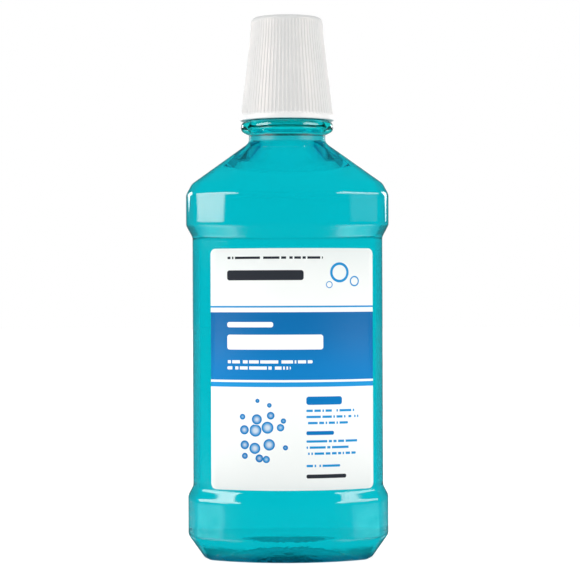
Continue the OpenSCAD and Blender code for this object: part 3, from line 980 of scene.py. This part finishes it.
class CapSettings(bpy.types.PropertyGroup):
    ribs: bpy.props.IntProperty(name="Ribs", description="Number of grip ribs", default=72)
    rib_share: bpy.props.FloatProperty(
        name="Rib width",
        description="Width of a rib as a share of its pitch",
        subtype="FACTOR",
        default=0.62,
    )
    tone: bpy.props.FloatVectorProperty(
        name="Colour", description="Colour of the cap", subtype="COLOR", default=(0.64, 0.652, 0.65)
    )


class LabelSettings(bpy.types.PropertyGroup):
    paper: bpy.props.FloatVectorProperty(
        name="Film",
        description="Colour of the label film",
        subtype="COLOR",
        default=(0.95, 0.975, 0.955),
    )
    blue: bpy.props.FloatVectorProperty(
        name="Blue", description="Blue of the print", subtype="COLOR", default=(0.0, 0.185, 0.515)
    )
    cyan: bpy.props.FloatVectorProperty(
        name="Cyan", description="Cyan of the print", subtype="COLOR", default=(0.013, 0.305, 0.68)
    )
    ink: bpy.props.FloatVectorProperty(
        name="Ink", description="Dark ink of the print", subtype="COLOR", default=(0.03, 0.035, 0.045)
    )
    shift: bpy.props.FloatProperty(
        name="Shift", description="How far the front label sits to the right, mm", default=2.4
    )
    half_w: bpy.props.FloatProperty(
        name="Front half width",
        description="Half the straight width of the front label, mm",
        default=37.32,
    )
    back_share: bpy.props.FloatProperty(
        name="Back label width",
        description="Width of the back label as a share of the front one's",
        subtype="FACTOR",
        default=0.72,
    )
    bottom: bpy.props.FloatProperty(
        name="Lower edge", description="Height of a label's lower edge, mm", default=33.9
    )
    top: bpy.props.FloatProperty(
        name="Upper edge", description="Height of a label's upper edge, mm", default=144.6
    )
    corner: bpy.props.FloatProperty(
        name="Corner", description="Corner radius of a label, mm", default=2.6
    )
    film: bpy.props.FloatProperty(
        name="Film thickness", description="Thickness of a label, mm", default=0.12
    )
    # Strength of the painted glow on a label's reverse: an emission, not light let through the film
    glow: bpy.props.FloatProperty(
        name="Light through film",
        description="How brightly a label's reverse is lit through the film",
        default=0.95,
    )


class StageSettings(bpy.types.PropertyGroup):
    camera_x: bpy.props.FloatProperty(
        name="Camera across",
        description="Place of the camera to the right",
        unit="LENGTH",
        default=0.00114,
    )
    camera_y: bpy.props.FloatProperty(
        name="Camera distance",
        description="Distance from the bottle's axis",
        unit="LENGTH",
        default=1.03,
    )
    camera_z: bpy.props.FloatProperty(
        name="Camera height", description="Height of the camera", unit="LENGTH", default=0.1255
    )
    camera_roll: bpy.props.FloatProperty(
        name="Camera roll",
        description="Turn of the camera about its view",
        subtype="ANGLE",
        default=math.radians(0.2),
    )
    lens: bpy.props.FloatProperty(name="Lens", description="Focal length, mm", default=135.1)
    left_shine: bpy.props.FloatProperty(
        name="Left highlight", description="Strength of the highlight panel on the left", default=11.0
    )
    right_shine: bpy.props.FloatProperty(
        name="Right highlight", description="Strength of the highlight panel on the right", default=8.5
    )
    rim_shine: bpy.props.FloatProperty(
        name="Rim highlight", description="Strength of the two narrow boxes behind", default=13.0
    )
    left_key: bpy.props.FloatProperty(
        name="Left light", description="Strength of the light panel on the left", default=2.15
    )
    right_key: bpy.props.FloatProperty(
        name="Right light", description="Strength of the light panel on the right", default=1.65
    )
    fill: bpy.props.FloatProperty(
        name="Fill", description="Strength of the even light all round", default=0.7
    )
    room: bpy.props.FloatProperty(
        name="Room", description="Level of the dim room in reflections", default=0.02
    )
    backdrop: bpy.props.FloatProperty(
        name="Backdrop", description="Level of the backdrop in reflections", default=0.04
    )


# ----------------------------------------------------------------- operators


def body_outline(s):
    return Outline(s.body_w, s.body_d, s.front_r, s.side_bow)


def dress(ob, body, slot, node, *materials):
    """Gives a finished piece its materials and its body, and hides the node that it stands for. The
    slot is not used.
    """
    for m in materials:
        ob.data.materials.append(m)
    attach(ob, body)
    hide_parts(node)


def lip_arc(r, start, end):
    return arc((r, LIP_Z - LIP_ROUND), LIP_ROUND, start, end, 4)


def neck_rows(top):
    """Outside of the neck from its root to the collar as radius and height, and where top is true on
    over the lip and down the bore, with threaded rows marked."""
    shares = ((0.25, 0.03), (0.62, 0.14), (0.82, 0.22), (0.95, 0.34), (1.0, 0.5))
    shares += ((0.98, 0.64), (0.91, 0.78), (0.8, 0.88), (0.67, 0.94), (0.45, 1.0))
    rows = [
        (NECK_R + 0.45, SHOULDER_TOP + 0.35),
        (NECK_R + 0.17, SHOULDER_TOP + 0.9),
        (NECK_R, SHOULDER_TOP + 1.8),
        (NECK_R, COLLAR_BOTTOM - 0.5),
        (NECK_R, COLLAR_BOTTOM - 0.1),
        (NECK_R + 0.15, COLLAR_BOTTOM),
    ]
    rows += [(NECK_R + (COLLAR_R - NECK_R) * a, mix(COLLAR_BOTTOM, COLLAR_TOP, b)) for a, b in shares]
    if not top:
        return rows
    rows += [(FINISH_R + out, COLLAR_TOP + up) for out, up in ((0.5, 0), (0.1, 0.1), (0, 0.4))]
    low, high = COLLAR_TOP + 0.6, LIP_Z - LIP_ROUND - 0.2
    rows += [(FINISH_R, mix(low, high, i / FINISH_ROWS), True) for i in range(FINISH_ROWS + 1)]
    rows += [(FINISH_R, LIP_Z - LIP_ROUND)]
    rows += lip_arc(FINISH_R - LIP_ROUND, 15, 90) + lip_arc(BORE_R + LIP_ROUND, 90, 165)
    rows += [(BORE_R, z) for z in (LIP_Z - LIP_ROUND, LIP_Z - 2, COLLAR_TOP + 1.0, COLLAR_TOP + 0.1)]
    return rows


def ring_of(outline, row):
    """A ring of the neck, with the thread on it where its row is marked."""
    ring = outline.circle(row[0], row[1])
    if len(row) > 2 and row[2]:
        angles = np.arctan2(ring[:, 1], ring[:, 0]) % (2 * math.pi)
        lift = np.array([thread_height(a, row[1], THREAD_BOTTOM) for a in angles]) * THREAD_DEPTH
        ring[:, :2] *= ((row[0] + lift) / row[0])[:, None]
    return ring


def lining(o, s, depth, top):
    """Rings that follow the bottle's outside at a depth below it, from the push-up to the collar."""
    stations = body_stations(depth, s.heel_taper, s.bumper_inset, s.recess)
    rings = push_up(o, depth, s.heel_taper, s.stand_w, s.push_up_h, s.push_up_r)
    rings.append(o.ring((depth, s.heel_taper + s.stand_w, CORNER_R, 0, 0, 0), s.push_up_r))
    start = toward(o, stations[0], stations[1], HEEL_CUT)
    foot = stations[0] + np.array([0, HEEL_CUT, 0, 0, 0, 0])
    rings += [o.ring(foot, NECK_ROOT_R), o.ring(start, NECK_ROOT_R)]
    rings += smooth_rings(o, [start] + stations[1:], NECK_ROOT_R - depth, CREASE_CUT)
    rings += [o.circle(row[0] - depth, min(row[1], top)) for row in neck_rows(False)]
    return rings


class BuildBottle(bpy.types.Operator):
    """Builds the blown bottle with its neck, collar and thread"""

    bl_idname = "bottle.build_wall"
    bl_label = "Bottle"

    def execute(self, context):
        s = context.scene.bottle_settings
        o = body_outline(s)
        stations = body_stations(0, s.heel_taper, s.bumper_inset, s.recess)
        heel = toward(o, stations[0], stations[1], CREASE_CUT)
        foot = stations[0] + np.array([0, CREASE_CUT, 0, 0, 0, 0])
        stand = np.array([0, s.heel_taper + s.stand_w, CORNER_R, 0, 0, 0])
        outer = push_up(o, 0, s.heel_taper, s.stand_w, s.push_up_h, s.push_up_r)
        outer += [o.ring(mix(stand, foot, share), s.push_up_r) for share in (0, 0.5)]
        outer += [o.ring(c, NECK_ROOT_R) for c in crease(foot, stations[0], heel)]
        outer += smooth_rings(o, [heel] + stations[1:], NECK_ROOT_R, CREASE_CUT)
        outer += [ring_of(o, row) for row in neck_rows(True)]
        inner = lining(o, s, s.wall, COLLAR_TOP - 0.06)
        inner.append(o.circle(BORE_R + 0.3, COLLAR_TOP - 0.05))
        ob = loft("bottle_wall", outer + inner[::-1])
        dress(ob, "bottle_body", "clear_plastic", "bottle", clear_plastic())
        return {"FINISHED"}


class BuildLiquid(bpy.types.Operator):
    """Builds the mouthwash that fills the bottle up into its neck"""

    bl_idname = "bottle.build_liquid"
    bl_label = "Mouthwash"

    def execute(self, context):
        s = context.scene.bottle_settings
        o = body_outline(s)
        rings = lining(o, s, LIQUID_SKIN, COLLAR_TOP - 0.12)
        # Over the collar's inside and down to the level, which curves up to the wall
        level = (
            (BORE_R + 1.6, COLLAR_TOP - 0.1),
            (BORE_R + 0.1, COLLAR_TOP - 0.1),
            (BORE_R, COLLAR_TOP - 0.3),
            (BORE_R, FILL_Z + 0.4),
            (BORE_R - 0.1, FILL_Z + 0.15),
            (BORE_R - 0.5, FILL_Z),
            (BORE_R - 1.5, FILL_Z - 0.15),
            (BORE_R * 0.8, FILL_Z - 0.2),
            (BORE_R * 0.4, FILL_Z - 0.2),
        )
        rings += [o.circle(r, z) for r, z in level]
        ob = loft("mouthwash_fill", rings)
        tones = [tuple(c) for c in (s.liquid, s.liquid_base_shade, s.liquid_neck, s.liquid_collar)]
        dress(ob, "bottle_body", "teal_liquid", "mouthwash", teal_liquid(*tones, s.dye))
        return {"FINISHED"}


def label_object(name, s, half_w, front_r, front_centre, shift, front):
    """A film bent round the front or back face, with rounded corners and a print map on its outside."""
    r = front_r + LABEL_GAP
    half_angle = math.asin(half_w / r)
    half = half_angle * r
    height = s.top - s.bottom
    c = s.corner
    ends = [-half + c * (1 - math.cos(math.radians(a))) for a in range(0, 91, 10)]
    middle = np.linspace(-half + c, half - c, LABEL_STEPS)[1:-1].tolist()
    across = ends + middle + [-e for e in ends[::-1]]
    verts, maps = [], []
    for layer in (r + s.film, r):
        for a in across:
            over = max(abs(a) - (half - c), 0)
            drop = c - math.sqrt(max(c * c - over * over, 0))
            angle = (a + shift) / r
            for z in (s.bottom + drop, s.top - drop):
                x, y = layer * math.sin(angle), -layer * math.cos(angle) - front_centre
                verts.append((x, y, z) if front else (-x, -y, z))
                maps.append(((a + half) / (2 * half), (z - s.bottom) / height))
    n = len(across)
    under = 2 * n
    faces, kinds = [], []
    for i in range(n - 1):
        a, b = 2 * i, 2 * i + 2
        faces += [
            (a, b, b + 1, a + 1),
            (under + a, under + a + 1, under + b + 1, under + b),
            (a, under + a, under + b, b),
            (a + 1, b + 1, under + b + 1, under + a + 1),
        ]
        kinds += [0, 1, 1, 1]
    last = 2 * (n - 1)
    faces += [(0, 1, under + 1, under), (last, under + last, under + last + 1, last + 1)]
    kinds += [1, 1]
    ob = make_object(name, verts, faces)
    mesh = ob.data
    uv = mesh.uv_layers.new(name="print")
    for loop in mesh.loops:
        uv.data[loop.index].uv = maps[loop.vertex_index]
    for poly, kind in zip(mesh.polygons, kinds):
        poly.material_index = kind
        poly.use_smooth = kind == 0
    return ob, 2 * half, height


class BuildLabels(bpy.types.Operator):
    """Builds the two printed labels"""

    bl_idname = "bottle.build_labels"
    bl_label = "Labels"

    def execute(self, context):
        s = context.scene.label_settings
        b = context.scene.bottle_settings
        centre = b.body_d / 2 - b.front_r
        r = b.front_r - b.recess
        tones = (tuple(s.paper), tuple(s.blue), tuple(s.cyan), tuple(s.ink))
        for name, half_w, shift, front, draw in (
            ("front_label_film", s.half_w, s.shift, True, front_print),
            ("back_label_film", s.half_w * s.back_share, 0.0, False, back_print),
        ):
            ob, width, height = label_object(name, s, half_w, r, centre, shift, front)
            node = name.replace("_film", "")
            dress(ob, "bottle_body", name, node, draw(width, height, *tones), label_back(s.glow))
        return {"FINISHED"}


class BuildSeal(bpy.types.Operator):
    """Builds the foam ring on the lip"""

    bl_idname = "bottle.build_seal"
    bl_label = "Seal ring"

    def execute(self, context):
        low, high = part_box("seal_ring")
        out, inn = high.x / MM, BORE_R + 0.4
        z0, z1 = low.z / MM, high.z / MM
        profile = [(inn + 0.1, z0), (out - 0.15, z0), (out, z0 + 0.15), (out, z1 - 0.15)]
        profile += [(out - 0.15, z1), (inn + 0.1, z1), (inn, z1 - 0.1), (inn, z0 + 0.1)]
        ob = lathe("seal_foam_ring", held(profile, 0.05), SEAL_AROUND)
        dress(ob, "seal_body", "seal_foam", "seal_ring", foam())
        return {"FINISHED"}


class BuildCup(bpy.types.Operator):
    """Builds the dosing cup with its flange and fill lines"""

    bl_idname = "bottle.build_cup"
    bl_label = "Dosing cup"

    def execute(self, context):
        flange_r = FINISH_R + 0.1
        inner_top = CUP_TOP - CUP_WALL

        def inside(z):
            share = (z - FLANGE_TOP) / (inner_top - FLANGE_TOP)
            return mix(CUP_MOUTH_R, CUP_END_R, share) - CUP_WALL

        lines = []
        for share in FILL_LINES:
            z = mix(inner_top, FLANGE_TOP, share)
            crest = inside(z) - LINE_DEPTH
            lines += [(inside(z + 0.3), z + 0.3), (crest, z + 0.12)]
            lines += [(crest, z - 0.12), (inside(z - 0.3), z - 0.3)]
        profile = [(0.0, inner_top), (CUP_END_R - CUP_WALL - 1.0, inner_top)]
        profile += [(inside(inner_top - 1.0), inner_top - 1.0)]
        profile += lines
        profile += [
            (CUP_MOUTH_R - CUP_WALL, FLANGE_BOTTOM + 0.3),
            (CUP_MOUTH_R - CUP_WALL + 0.1, FLANGE_BOTTOM),
            (flange_r - 0.2, FLANGE_BOTTOM),
            (flange_r, FLANGE_BOTTOM + 0.2),
            (flange_r, FLANGE_TOP - 0.2),
            (flange_r - 0.2, FLANGE_TOP),
            (CUP_MOUTH_R + 0.1, FLANGE_TOP),
            (CUP_MOUTH_R, FLANGE_TOP + 0.2),
            (CUP_END_R, inner_top),
        ]
        profile += arc((CUP_END_R - CUP_WALL, inner_top), CUP_WALL, 15, 90, 5) + [(0.0, CUP_TOP)]
        ob = lathe("dosing_cup_liner", held(profile, 0.08), CUP_AROUND)
        dress(ob, "cup_body", "cup_plastic", "dosing_cup", cup_plastic())
        return {"FINISHED"}


def groove_r(z):
    """Radius of the skirt between its ribs."""
    if z < FLARE_TOP:
        share = (FLARE_TOP - z) / (FLARE_TOP - CAP_RING_TOP)
        return SKIRT_R + (CAP_RING_R - RIB_DEPTH * 0.6 - SKIRT_R) * share**2
    if z < BEND_Z:
        return mix(SKIRT_R, BEND_R, (z - FLARE_TOP) / (BEND_Z - FLARE_TOP))
    return mix(BEND_R, TOP_R, (z - BEND_Z) / (CAP_EDGE_BOTTOM - BEND_Z))


def cap_outline():
    """Section of the cap's shell, from the axis under its roof, down the inside and up the outside."""
    inside = [
        (0.0, CHAMBER_TOP),
        (CHAMBER_TOP_R - 0.45, CHAMBER_TOP),
        (CHAMBER_TOP_R, CHAMBER_TOP - 0.45),
        (CHAMBER_R, CHAMBER_BOTTOM),
        (LEDGE_R, CHAMBER_BOTTOM),
        (LEDGE_R, FLANGE_BOTTOM),
        (SNAP_R, FLANGE_BOTTOM - 0.05),
        (SNAP_R, FLANGE_BOTTOM - SNAP_HEIGHT),
        (CAP_BORE_R, LIP_Z - 0.4),
    ]
    low, high = CAP_BOTTOM + 0.9, LIP_Z - 1.0
    bore = [(CAP_BORE_R, mix(high, low, i / BORE_ROWS), True) for i in range(BORE_ROWS + 1)]
    outside = [(CAP_BORE_R, CAP_BOTTOM + 0.5), (CAP_BORE_R + 0.5, CAP_BOTTOM)]
    outside.append((CAP_RING_R - 0.5, CAP_BOTTOM))
    outside += arc((CAP_RING_R - 0.5, CAP_BOTTOM + 0.5), 0.5, -70, 0, 4)
    outside += [(CAP_RING_R, CAP_RING_TOP - 0.15), (CAP_RING_R - 0.1, CAP_RING_TOP - 0.02)]
    flare = [CAP_RING_TOP + up for up in (0.05, 0.5, 1.0, 1.6, 2.1, 2.5)]
    outside += [(groove_r(z), z) for z in flare]
    skirt = (214, 220, 228, 236, 243, 244.4, 245, 245.6, 247, 249, 250.6, 251.6)
    outside += [(groove_r(z), z) for z in skirt]
    centre = (TOP_R - CAP_EDGE_R, CAP_EDGE_BOTTOM)
    outside += arc(centre, CAP_EDGE_R, 0, 90, 9)
    for share in (0.8, 0.6, 0.4, 0.2):
        outside.append((centre[0] * share, CAP_TOP - CAP_DOME * share**2))
    outside += [(1.3, CAP_TOP - 0.005), (1.1, CAP_TOP - 0.12), (0.0, CAP_TOP - 0.15)]
    return inside, bore, outside


def cap_thread(angle, z, r):
    return r - (CAP_BORE_R - CAP_THREAD_R) * thread_height(angle, z, THREAD_BOTTOM - CAP_THREAD_DROP)


def rib_tree():
    """A tree that repeats one rib round the cap: Geometry, Ribs and Finish in, a plain mesh out."""
    ins = (("Geometry", "Geometry"), ("Ribs", "Int"), ("Finish", "Material"))
    tree = node_group("ribs_round_cap", "GeometryNodeTree", ins, (("Geometry", "Geometry"),))
    t = Nodes(tree)
    rib, count, finish = t.node("NodeGroupInput").outputs[:3]
    points = t.make("GeometryNodePoints", {"Count": count})
    pitch = t.math("DIVIDE", 2 * math.pi, count)
    turn = t.math("MULTIPLY", t.node("GeometryNodeInputIndex").outputs[0], pitch)
    angles = t.make("ShaderNodeCombineXYZ", {"Z": turn})
    wires = {"Points": points, "Instance": rib, "Rotation": angles}
    copies = t.make("GeometryNodeInstanceOnPoints", wires)
    real = t.make("GeometryNodeRealizeInstances", {0: copies})
    painted = t.make("GeometryNodeSetMaterial", {"Geometry": real, "Material": finish})
    t.put(t.node("NodeGroupOutput").inputs[0], painted)
    return tree


def one_rib(share, count):
    """One rib on the +X side: a rounded ridge that follows the skirt and fades at its upper end."""
    pitch = 2 * math.pi / count
    foot = ((-0.1, 0.5), (0.3, 0.6), (1, 0.8), (1.8, 0.95))
    middle = (FLARE_TOP, 222, 234, BEND_Z - 0.6, BEND_Z, BEND_Z + 0.6, 248.4, 250.6)
    heights = [(CAP_RING_TOP + up, tall) for up, tall in foot] + [(z, 1) for z in middle]
    heights += [(251.5, 0.75), (252.3, 0.25), (252.9, -0.6)]
    half = ((0.22, 0.98), (0.56, 0.66), (0.84, 0.12), (1.0, -0.3))
    across = [(-a, h) for a, h in half[::-1]] + list(half)
    verts, faces = [], []
    for z, tall in heights:
        floor = groove_r(min(max(z, CAP_RING_TOP), 251.9))
        if z > CAP_EDGE_BOTTOM:
            floor = TOP_R - CAP_EDGE_R + math.sqrt(CAP_EDGE_R**2 - (z - CAP_EDGE_BOTTOM) ** 2)
        for a, h in across:
            angle = a * share * pitch / 2
            r = floor + RIB_DEPTH * (min(h, tall) if tall < 1 else h)
            verts.append((r * math.cos(angle), r * math.sin(angle), z))
    n = len(across)
    for k in range(len(heights) - 1):
        for i in range(n - 1):
            a = k * n + i
            faces.append((a, a + 1, a + n + 1, a + n))
        faces.append((k * n + n - 1, k * n, (k + 1) * n, (k + 1) * n + n - 1))
    faces.append(tuple(range(n - 1, -1, -1)))
    last = (len(heights) - 1) * n
    faces.append(tuple(range(last, last + n)))
    return make_object("one_rib", verts, faces)


class BuildCap(bpy.types.Operator):
    """Builds the cap's shell with its thread, and the ribs round it"""

    bl_idname = "bottle.build_cap"
    bl_label = "Cap"

    def execute(self, context):
        s = context.scene.cap_settings
        finish = cap_plastic(tuple(s.tone))
        inside, bore, outside = cap_outline()
        profile = held(inside, 0.1) + bore + held(outside, 0.1)
        shell = lathe("cap_shell_skin", profile, CAP_AROUND, cap_thread)
        dress(shell, "cap_body", "cap_plastic", "cap_shell", finish)

        rib = one_rib(s.rib_share, s.ribs)
        tree = rib_tree()
        mod = rib.modifiers.new("ribs", "NODES")
        mod.node_group = tree
        names = {i.name: i.identifier for i in tree.interface.items_tree if i.in_out == "INPUT"}
        mod[names["Ribs"]] = s.ribs
        mod[names["Finish"]] = finish
        context.view_layer.update()
        graph = context.evaluated_depsgraph_get()
        mesh = bpy.data.meshes.new_from_object(rib.evaluated_get(graph))
        rib.modifiers.clear()
        ribs = bpy.data.objects.new("cap_ribs", mesh)
        context.scene.collection.objects.link(ribs)
        bpy.data.objects.remove(rib)
        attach(ribs, "cap_body")
        return {"FINISHED"}


class BuildStage(bpy.types.Operator):
    """Sets up the floor, the light and the camera"""

    bl_idname = "bottle.build_stage"
    bl_label = "Stage"

    def execute(self, context):
        scene = context.scene
        s = scene.stage_settings
        scene.view_settings.view_transform = "Standard"
        signs = ((-1, -1), (1, -1), (1, 1), (-1, 1))
        corners = [(x * TABLE_HALF, y * TABLE_HALF, 0) for x, y in signs]
        floor = make_object("floor", corners, [(0, 1, 2, 3)], smooth=False)
        floor.data.materials.append(floor_material(TABLE_LIFT, TABLE_BOUNCE, TABLE_TONE))
        self.world(scene, s.fill, s.room, s.backdrop)
        # Light panels: azimuth and width in degrees from straight ahead, lower and upper edge, strength
        for name, azimuth, width, low, high, strength, outline in (
            ("left_box", -61, 50, *BOX_Z, s.left_shine, LEFT_BOX),
            ("right_box", 61, 50, *BOX_Z, s.right_shine, RIGHT_BOX),
            ("left_rim_box", -148, 20, *RIM_Z, s.rim_shine, LEFT_RIM),
            ("right_rim_box", 148, 20, *RIM_Z, s.rim_shine, RIGHT_RIM),
            ("left_key", -78, 40, *KEY_Z, s.left_key, None),
            ("right_key", 78, 40, *KEY_Z, s.right_key, None),
        ):
            self.panel(name, azimuth, width, low, high, strength, outline)
        data = bpy.data.cameras.new("camera")
        data.lens = s.lens
        data.sensor_width = SENSOR_W
        data.clip_end = CLIP_END
        camera = bpy.data.objects.new("camera", data)
        camera.location = (s.camera_x, -s.camera_y, s.camera_z)
        camera.rotation_euler = (math.pi / 2, s.camera_roll, 0)
        scene.collection.objects.link(camera)
        scene.camera = camera
        return {"FINISHED"}

    def panel(self, name, azimuth, width, low, high, strength, outline):
        """An upright light panel that faces the bottle. One with an outline only makes highlights, and
        one without only lights colour, from further off."""
        reach = BOX_REACH if outline else KEY_REACH
        data = bpy.data.lights.new(name, "AREA")
        data.shape = "RECTANGLE"
        data.size = 2 * reach * math.tan(math.radians(width / 2))
        data.size_y = high - low
        data.energy = strength * math.pi * data.size * data.size_y
        if outline:
            data.color = FRONT_BOX_TINT if abs(azimuth) < 90 else (1.0, 1.0, 1.0)
            self.soft_box(data, azimuth, low, high, outline)
        ob = bpy.data.objects.new(name, data)
        turn = math.radians(azimuth)
        ob.location = (reach * math.sin(turn), -reach * math.cos(turn), (low + high) / 2)
        ob.rotation_euler = (math.pi / 2, 0, turn)
        ob.visible_camera = False
        ob.visible_transmission = False
        ob.visible_diffuse = not outline
        ob.visible_glossy = bool(outline)
        bpy.context.scene.collection.objects.link(ob)

    def soft_box(self, data, azimuth, low, high, outline):
        """Gives a panel the outline of a soft box, with soft edges: at each height its inner and outer
        edge, in degrees of azimuth, and its level."""
        data.use_nodes = True
        t = Nodes(data.node_tree)
        x, y, _ = t.parts(t.node("ShaderNodeNewGeometry").outputs["Parametric"])
        stops = []
        for height, near, far, level in outline:
            turns = [math.radians(edge - abs(azimuth)) for edge in (near, far)]
            edges = [0.5 + math.tan(turn) / data.size for turn in turns]
            stops.append(((height - low) / (high - low), (*edges, level)))
        parts = t.node("ShaderNodeSeparateColor")
        t.put(parts.inputs[0], t.ramp(y, stops))
        near, far, level = parts.outputs[:3]

        # The edges are counted from the one that is nearer the front
        place = x if azimuth > 0 else t.math("SUBTRACT", 1.0, x)
        outside = t.math("LESS_THAN", t.path()["Transparent Depth"], 0.5)
        level = t.math("MULTIPLY", level, t.math("MAXIMUM", outside, BEHIND_WALL))
        for edge, soft in ((near, SOFT_EDGE), (far, -SOFT_EDGE)):
            level = t.math("MULTIPLY", level, t.span(place, edge, t.math("ADD", edge, soft)))
        t.put(data.node_tree.nodes["Emission"].inputs["Strength"], level)

    def world(self, scene, fill, room, backdrop):
        """White to the eye and through clear pieces. In reflections it is pale behind the bottle and
        dim in front of it, as a room is round a white backdrop."""
        world = bpy.data.worlds.new("studio")
        scene.world = world
        world.use_nodes = True
        world.node_tree.nodes.clear()
        t = Nodes(world.node_tree)
        path = t.path()
        _, y, z = t.parts(t.node("ShaderNodeTexCoord").outputs["Generated"])
        mirrored = t.span(y, 0.1, 0.5, room, backdrop)
        above = t.span(z, 0.0, 1.0, fill, fill * 1.3, smooth=False)
        through = t.span(z, 0.16, 0.3, 1.0, 0.5, smooth=False)
        level = t.pick(path["Is Glossy Ray"], above, mirrored)
        level = t.pick(path["Is Transmission Ray"], level, through)
        level = t.pick(path["Is Camera Ray"], level, 1.0)
        light = t.make("ShaderNodeBackground", {0: (1, 1, 1, 1), 1: level})
        t.put(t.node("ShaderNodeOutputWorld").inputs[0], light)


class BottlePanel(bpy.types.Panel):
    bl_idname = "VIEW3D_PT_bottle"
    bl_label = "Mouthwash bottle"
    bl_space_type = "VIEW_3D"
    bl_region_type = "UI"
    bl_category = "Bottle"

    def draw(self, context):
        for step in STEPS:
            self.layout.operator(step.bl_idname)
        for name in SETTINGS:
            box = self.layout.box()
            group = getattr(context.scene, name)
            for prop in group.bl_rna.properties:
                if prop.identifier not in ("rna_type", "name"):
                    box.prop(group, prop.identifier)


STEPS = (BuildBottle, BuildLiquid, BuildLabels, BuildSeal, BuildCup, BuildCap, BuildStage)
SETTINGS = {
    "bottle_settings": BottleSettings,
    "cap_settings": CapSettings,
    "label_settings": LabelSettings,
    "stage_settings": StageSettings,
}


def register():
    for cls in (*SETTINGS.values(), *STEPS, BottlePanel):
        bpy.utils.register_class(cls)
    for name, cls in SETTINGS.items():
        setattr(bpy.types.Scene, name, bpy.props.PointerProperty(type=cls))


def unregister():
    for name in SETTINGS:
        delattr(bpy.types.Scene, name)
    for cls in (BottlePanel, *STEPS[::-1], *list(SETTINGS.values())[::-1]):
        bpy.utils.unregister_class(cls)


def main():
    register()
    bpy.ops.bottle.build_wall()
    bpy.ops.bottle.build_liquid()
    bpy.ops.bottle.build_labels()
    bpy.ops.bottle.build_seal()
    bpy.ops.bottle.build_cup()
    bpy.ops.bottle.build_cap()
    bpy.ops.bottle.build_stage()


if __name__ == "__main__":
    main()
